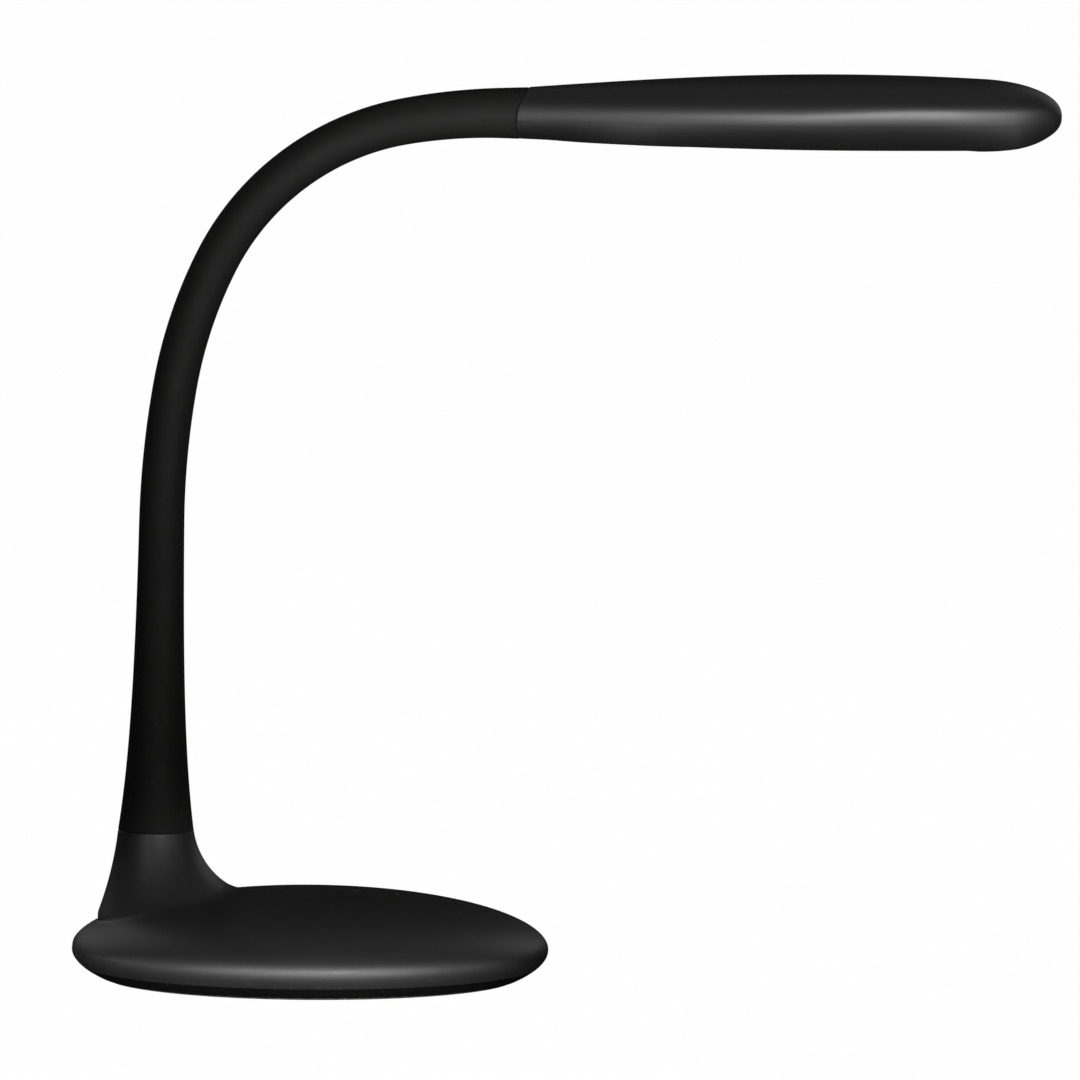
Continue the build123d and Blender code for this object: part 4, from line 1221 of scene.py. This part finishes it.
    def top_cover(self, rows: int = 120, columns: int = 73) -> Piece:
        """The upper cover: from the joint's curve to the tip, over the arc between its two edges.

        Args:
            rows: rows of its grid, closer towards the tip.
            columns: columns of its grid.

        Returns:
            The cover, a wall with rounded rims.
        """
        share = np.sin(np.linspace(0, 1, rows)[:, None] * pi / 2)
        across = np.linspace(0, 1, columns)[None, :]
        skins = []
        for inset in (0.0, self.cover_wall):
            def angle_of(reach: Array, inset: float = inset) -> Array:
                """Angle from one edge over the top to the other."""
                low = self.parting(reach, 1.0, inset)
                return -low + (pi + 2 * low) * across

            start, _ = self.joint_curve(np.zeros((1, 1)), angle_of, inset, 4)
            reach = start + (self.length - inset - start) * share
            skins.append(self.surface(reach, angle_of(reach), inset))
        outer, inner = rounded(*skins, self.cover_edge, Side.FIRST_ROW)
        edge = self.seam_edge(outer[:, 0, 0])
        for side in (Side.FIRST_COLUMN, Side.LAST_COLUMN):
            outer, inner = rounded(outer, inner, edge, side, 2)
        made = piece("head_upper_shell", *wall(outer, inner, False), "cover_black")
        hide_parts("head_top_cover")
        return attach(made, "head")

    def window_loop(self, share: Array, gap: float) -> Array:
        """Half of the window's outline in plan, from its end near the joint to its far end.

        A quarter circle, a straight side and a quarter circle, at shares of their whole length.

        Args:
            share: shares of the length, from 0 to 1.
            gap: how far inside the window.

        Returns:
            Places in plan.
        """
        radius = self.window_width / 2 - gap
        start, end = self.window_start + gap + radius, self.window_end - gap - radius
        arc = radius * pi / 2
        run = share * (2 * arc + end - start)
        first, second = (np.clip(part / arc, 0, 1) * pi / 2 for part in (run, run - arc - end + start))
        x = start - radius * np.cos(first) + np.clip(run - arc, 0, end - start) + radius * np.sin(second)
        return np.stack([x, radius * np.sin(first) * np.cos(second)], axis=-1)

    def under(self, plan: Array, inset: float) -> Array:
        """Points of the head's underside.

        The depth below the widest line is e / (1 + (e / f)^60)^(1 / 60), where e is the ellipse,
        depth * sqrt(1 - (y / width)^2), and f the flat along the window that it ends in.

        Args:
            plan: places in plan.
            inset: how far the surface is sunk.

        Returns:
            The points.
        """
        reach, side = plan[..., 0], plan[..., 1]
        width, _, depth, line = self.halves(reach, inset)
        below = depth * np.sqrt(np.clip(1 - (side / np.maximum(width, 1e-6)) ** 2, 0, 1))
        level = ((1 - (1 - self.flat) * self.share_full(reach)) * self.radii(reach, inset)[1]
                 + line - self.axis(reach))
        power = self.flat_power
        below = below / (1 + (below / np.maximum(level, 1e-6)) ** power) ** (1 / power)
        return spread(self.x + reach, side, self.z + line - below)

    def edge_loop(self, inset: float, joint_count: int = 12, side_count: int = 110) -> Array:
        """Half of the lower cover's outline in plan: across the joint's curve, then along its edge.

        Args:
            inset: how far the surface is sunk.
            joint_count: points across the joint's curve.
            side_count: points along the edge.

        Returns:
            Places in plan.
        """
        across = np.linspace(0, 1, joint_count)
        start, angle = self.joint_curve(
            np.zeros(joint_count),
            lambda reach: -pi / 2 + (pi / 2 - self.parting(reach, -1.0, inset)) * across, inset, 5)
        joint = np.stack([start, self.surface(start, angle, inset)[..., 1]], axis=-1)
        run = np.sin(np.linspace(0, pi / 2, side_count)[1:])
        reach = start[-1] + (self.length - inset - start[-1]) * run
        low = self.parting(reach, -1.0, inset)
        edge = np.stack([reach, self.surface(reach, -low, inset)[..., 1]], axis=-1)
        return np.concatenate([joint, edge])

    def bottom_cover(self, rows: int = 34) -> Piece:
        """The lower cover: a ring-shaped wall between the window's outline and the covers' joint.

        Args:
            rows: rows of its grid, closer towards the joint.

        Returns:
            The cover, with the holes for its screws.
        """
        share = 1 - (1 - np.linspace(0, 1, rows)[:, None, None]) ** 1.6
        skins = []
        for inset in (0.0, self.cover_wall):
            half = self.edge_loop(inset)
            steps = np.linalg.norm(np.diff(half, axis=0), axis=1)
            length = np.concatenate([[0.0], np.cumsum(steps)])
            window = self.window_loop(length / length[-1], 0.0)
            skins.append(mirrored(self.under(window + (half - window) * share, inset)))
        outer, inner = rounded(*skins, self.window_edge, Side.FIRST_ROW)
        outer, inner = rounded(outer, inner, self.seam_edge(outer[-1, :, 0]), Side.LAST_ROW, 2)
        made = piece("head_lower_shell", *wall(outer, inner, True), "cover_black")
        self.cut_screw_holes(made)
        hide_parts("head_bottom_cover")
        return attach(made, "head")

    def cut_screw_holes(self, made: Piece) -> None:
        """Cuts the round holes in which the shell screws' heads are sunk."""
        low, seat = self.z - self.screw_below, self.z - self.screw_seat
        profile = np.array([[0.0, low], [self.screw_hole, low], [self.screw_hole, seat], [0.0, seat]])
        for reach, side in self.screw_places:
            cut(made, *skinned(lathe(profile, (self.x + reach, side), 48)))

    def diffuser(self, rows: int = 12, columns: int = 90) -> Piece:
        """The diffuser: a plate level across the head, a little sunk inside the window's lip.

        Args:
            rows: rows of its grid, from its spine out.
            columns: columns along half of its outline.

        Returns:
            The plate.
        """
        half = self.window_loop(np.linspace(0, 1, columns), self.window_gap)
        radius = self.window_width / 2
        spine = np.stack([np.clip(half[:, 0], self.window_start + radius, self.window_end - radius),
                          np.zeros(columns)], axis=-1)
        plan = spine + (half - spine) * np.linspace(0, 1, rows)[:, None, None]
        lip = self.under(np.stack([plan[..., 0], np.full(plan.shape[:2], radius)], axis=-1), 0.0)[..., 2]
        skins = [mirrored(spread(self.x + plan[..., 0], plan[..., 1], lip + rise))
                 for rise in (self.lens_sink, self.lens_sink + self.lens_wall)]
        outer, inner = rounded(*skins, self.cover_edge, Side.LAST_ROW)
        made = piece("diffuser_plate", *wall(outer, inner, True, first_rim=False), "diffuser_opal")
        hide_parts("light_diffuser")
        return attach(made, "head")

    def build(self) -> None:
        """Builds both covers and the diffuser; what lies inside stays as it is."""
        self.top_cover()
        self.bottom_cover()
        self.diffuser()


# ------------------------------------------------------------------------ insides
class Insides:
    """The nodes that stay as they are: each takes the finish of its material slot."""

    def dress(self) -> None:
        """Puts each slot's finish on its nodes."""
        for row in frame["record"]["subparts"]:
            node = frame["nodes"].get(row["node"])
            if node is None:
                continue
            finish = FINISHES[row["material_slot"]].material()
            if not node.material_slots:
                node.data.materials.append(finish)
            for place in node.material_slots:
                place.material = finish


# ------------------------------------------------------------------------- studio
@dataclass
class Studio:
    """Floor, backdrop, camera and soft lights."""

    middle: Triple = (0.0887, 0.0, 0.1725)
    distance: float = 16.0
    field_mm: float = 421.2
    film: float = 36.0
    far_clip: float = 60.0
    elevation: float = 5.5
    roll: float = 0.4
    floor_rings: tuple[float, ...] = (0.0, 0.2, 1.0, 4.0, 14.0)
    floor_colours: tuple[float, float] = (0.058, 0.064)
    glow: float = 0.99
    glossy_share: float = 0.002
    base_lamps: tuple[tuple[float, float], ...] = ((-90, 0.35), (-55, 0.9), (-20, 2.2), (15, 3.2), (50, 1.3))

    @staticmethod
    def aimed(made: Piece, place: Array, right: Array, up: Array, back: Array) -> None:
        """Puts a camera or lamp at a place with these three axes."""
        axes = np.stack([right, up, back], 1)
        made.matrix_world = Matrix([[*row, place[i]] for i, row in enumerate(axes)] + [[0, 0, 0, 1]])

    def camera(self) -> None:
        """Long lens from the front, a little above, turned a little about its own axis."""
        data = bpy.data.cameras.new("camera")
        data.sensor_fit, data.sensor_width = "HORIZONTAL", self.film
        data.lens = self.film * self.distance / (self.field_mm * MM)
        data.clip_end = self.far_clip
        rise, roll = radians(self.elevation), radians(self.roll)
        back = np.array([0.0, -cos(rise), sin(rise)])
        right, up = np.array([1.0, 0.0, 0.0]), np.array([0.0, sin(rise), cos(rise)])
        right, up = cos(roll) * right + sin(roll) * up, cos(roll) * up - sin(roll) * right
        seen = placed("camera", data)
        self.aimed(seen, np.array(self.middle) + back * self.distance, right, up, back)
        bpy.context.scene.camera = seen

    def background(self, shade: Shade) -> Signal:
        """1 for rays that should see the pale background: the camera's, and in part those off gloss."""
        rays = shade.node("ShaderNodeLightPath").outputs
        camera, clear, glossy = (Signal(shade, rays[f"Is {kind} Ray"])
                                 for kind in ("Camera", "Transmission", "Glossy"))
        return shade.maths("MAXIMUM", shade.maths("MAXIMUM", camera, clear), glossy * self.glossy_share)

    def floor(self) -> None:
        """Round pale floor: its lit colour plus a glow for the camera; from below it is clear."""
        turn = around(96)
        radius = np.array(self.floor_rings)[:, None] / MM
        points, faces = skinned(spread(radius * np.cos(turn), radius * np.sin(-turn), 0.0))
        mesh = bpy.data.meshes.new("studio_floor")
        mesh.from_pydata((points * MM).tolist(), [], faces.tolist())
        made = placed("studio_floor", mesh)
        pale = bpy.data.materials.new("pale_floor")
        shade = Shade.surface(pale)
        grain = shade.noise(4.0, 3.0)
        shade.dress(base_color=shade.blend(grain, *map(grey, self.floor_colours)), roughness=0.9,
                    specular=0.0, normal=shade.relief(grain, 0.02))
        glow = shade.node("ShaderNodeEmission", inputs={"Strength": self.glow * self.background(shade)})
        both = shade.node("ShaderNodeAddShader", inputs={0: shade.shader.outputs[0], 1: glow.outputs[0]})
        below = shade.node("ShaderNodeNewGeometry").outputs["Backfacing"]
        clear = shade.node("ShaderNodeBsdfTransparent").outputs[0]
        mixed = shade.node("ShaderNodeMixShader", inputs={0: below, 1: both.outputs[0], 2: clear})
        shade.feed(shade.output.inputs[0], mixed.outputs[0])
        mesh.materials.append(pale)
        made.visible_shadow = False

    def lamp(self, name: str, place: Triple, aim: Triple, size: tuple[float, float], level: float,
             beam: float = 180.0) -> None:
        """Soft lamp with a grid that narrows its beam.

        Args:
            name: its name.
            place: its middle, in metres.
            aim: what it points at.
            size: its width and height in metres.
            level: brightness of a white surface that faces it at the aim.
            beam: angle in degrees that its light keeps within; power falls by 1 - half / tan(half), so
                that the level at the aim stays.
        """
        data = bpy.data.lights.new(name, "AREA")
        data.shape, (data.size, data.size_y) = "RECTANGLE", size
        there, target = np.array(place), np.array(aim)
        away, half = float(np.linalg.norm(there - target)), radians(beam) / 2
        data.energy = level * pi * pi * away ** 2 * (1 - half / tan(half) if beam < 179 else 1)
        data.spread = radians(beam)
        back = unit(there - target)
        right = unit(np.cross([0.0, 0.0, 1.0], back))
        made = placed(name, data)
        self.aimed(made, there, right, np.cross(back, right), back)
        made.visible_camera = False

    def lights(self) -> None:
        """Soft lamps in front for head and base, a fill on the left, one above and two weak ones behind."""
        self.lamp("head_lamp", (0.27, -0.85, 0.22), (0.17, 0.0, 0.34), (0.45, 0.38), 1.55, 38.0)
        self.lamp("tip_lamp", (0.8, -0.65, 0.25), (0.28, 0.0, 0.34), (0.3, 0.3), 0.45, 36.0)
        for index, (around_base, level) in enumerate(self.base_lamps):
            there, rim = radians(around_base), radians(around_base / 2)
            self.lamp(f"base_lamp_{index}", (0.4 * sin(there), -0.4 * cos(there), -0.017),
                      (0.093 * sin(rim), -0.093 * cos(rim), -0.01), (0.13, 0.05), level, 20.0)
        self.lamp("left_lamp", (-0.7, -1.2, 0.45), (0.0, 0.0, 0.25), (0.6, 0.6), 0.05)
        self.lamp("overhead_lamp", (0.1, 0.35, 1.6), (0.1, 0.0, 0.2), (1.8, 1.6), 0.035)
        self.lamp("rear_left_lamp", (-0.8, 1.2, 0.75), (0.0, 0.0, 0.2), (1.0, 1.0), 0.035)
        self.lamp("rear_right_lamp", (1.0, 1.2, 0.75), (0.1, 0.0, 0.2), (1.0, 1.0), 0.035)

    def world(self) -> None:
        """Dim even surroundings that the camera sees as white."""
        world = bpy.data.worlds.new("surroundings")
        bpy.context.scene.world = world
        shade = Shade(world)
        colour = shade.blend(self.background(shade), grey(0.001), grey(1.0))
        back = shade.node("ShaderNodeBackground", inputs={"Color": colour, "Strength": 1.0})
        shade.node("ShaderNodeOutputWorld", inputs={0: back.outputs[0]})

    def build(self) -> None:
        """Sets up the whole studio."""
        self.camera()
        self.floor()
        self.lights()
        self.world()
        bpy.context.scene.view_settings.view_transform = "Standard"


def main() -> None:
    """Builds the studio and the lamp's sub-assemblies in order."""
    logging.basicConfig(level=logging.INFO, format="%(name)s: %(message)s")
    line, joint = NeckLine(), EndJoint()
    Studio().build()
    Insides().dress()
    Base().build()
    Neck(line, joint).build()
    Head(line, joint).build()


if __name__ == "__main__":
    main()
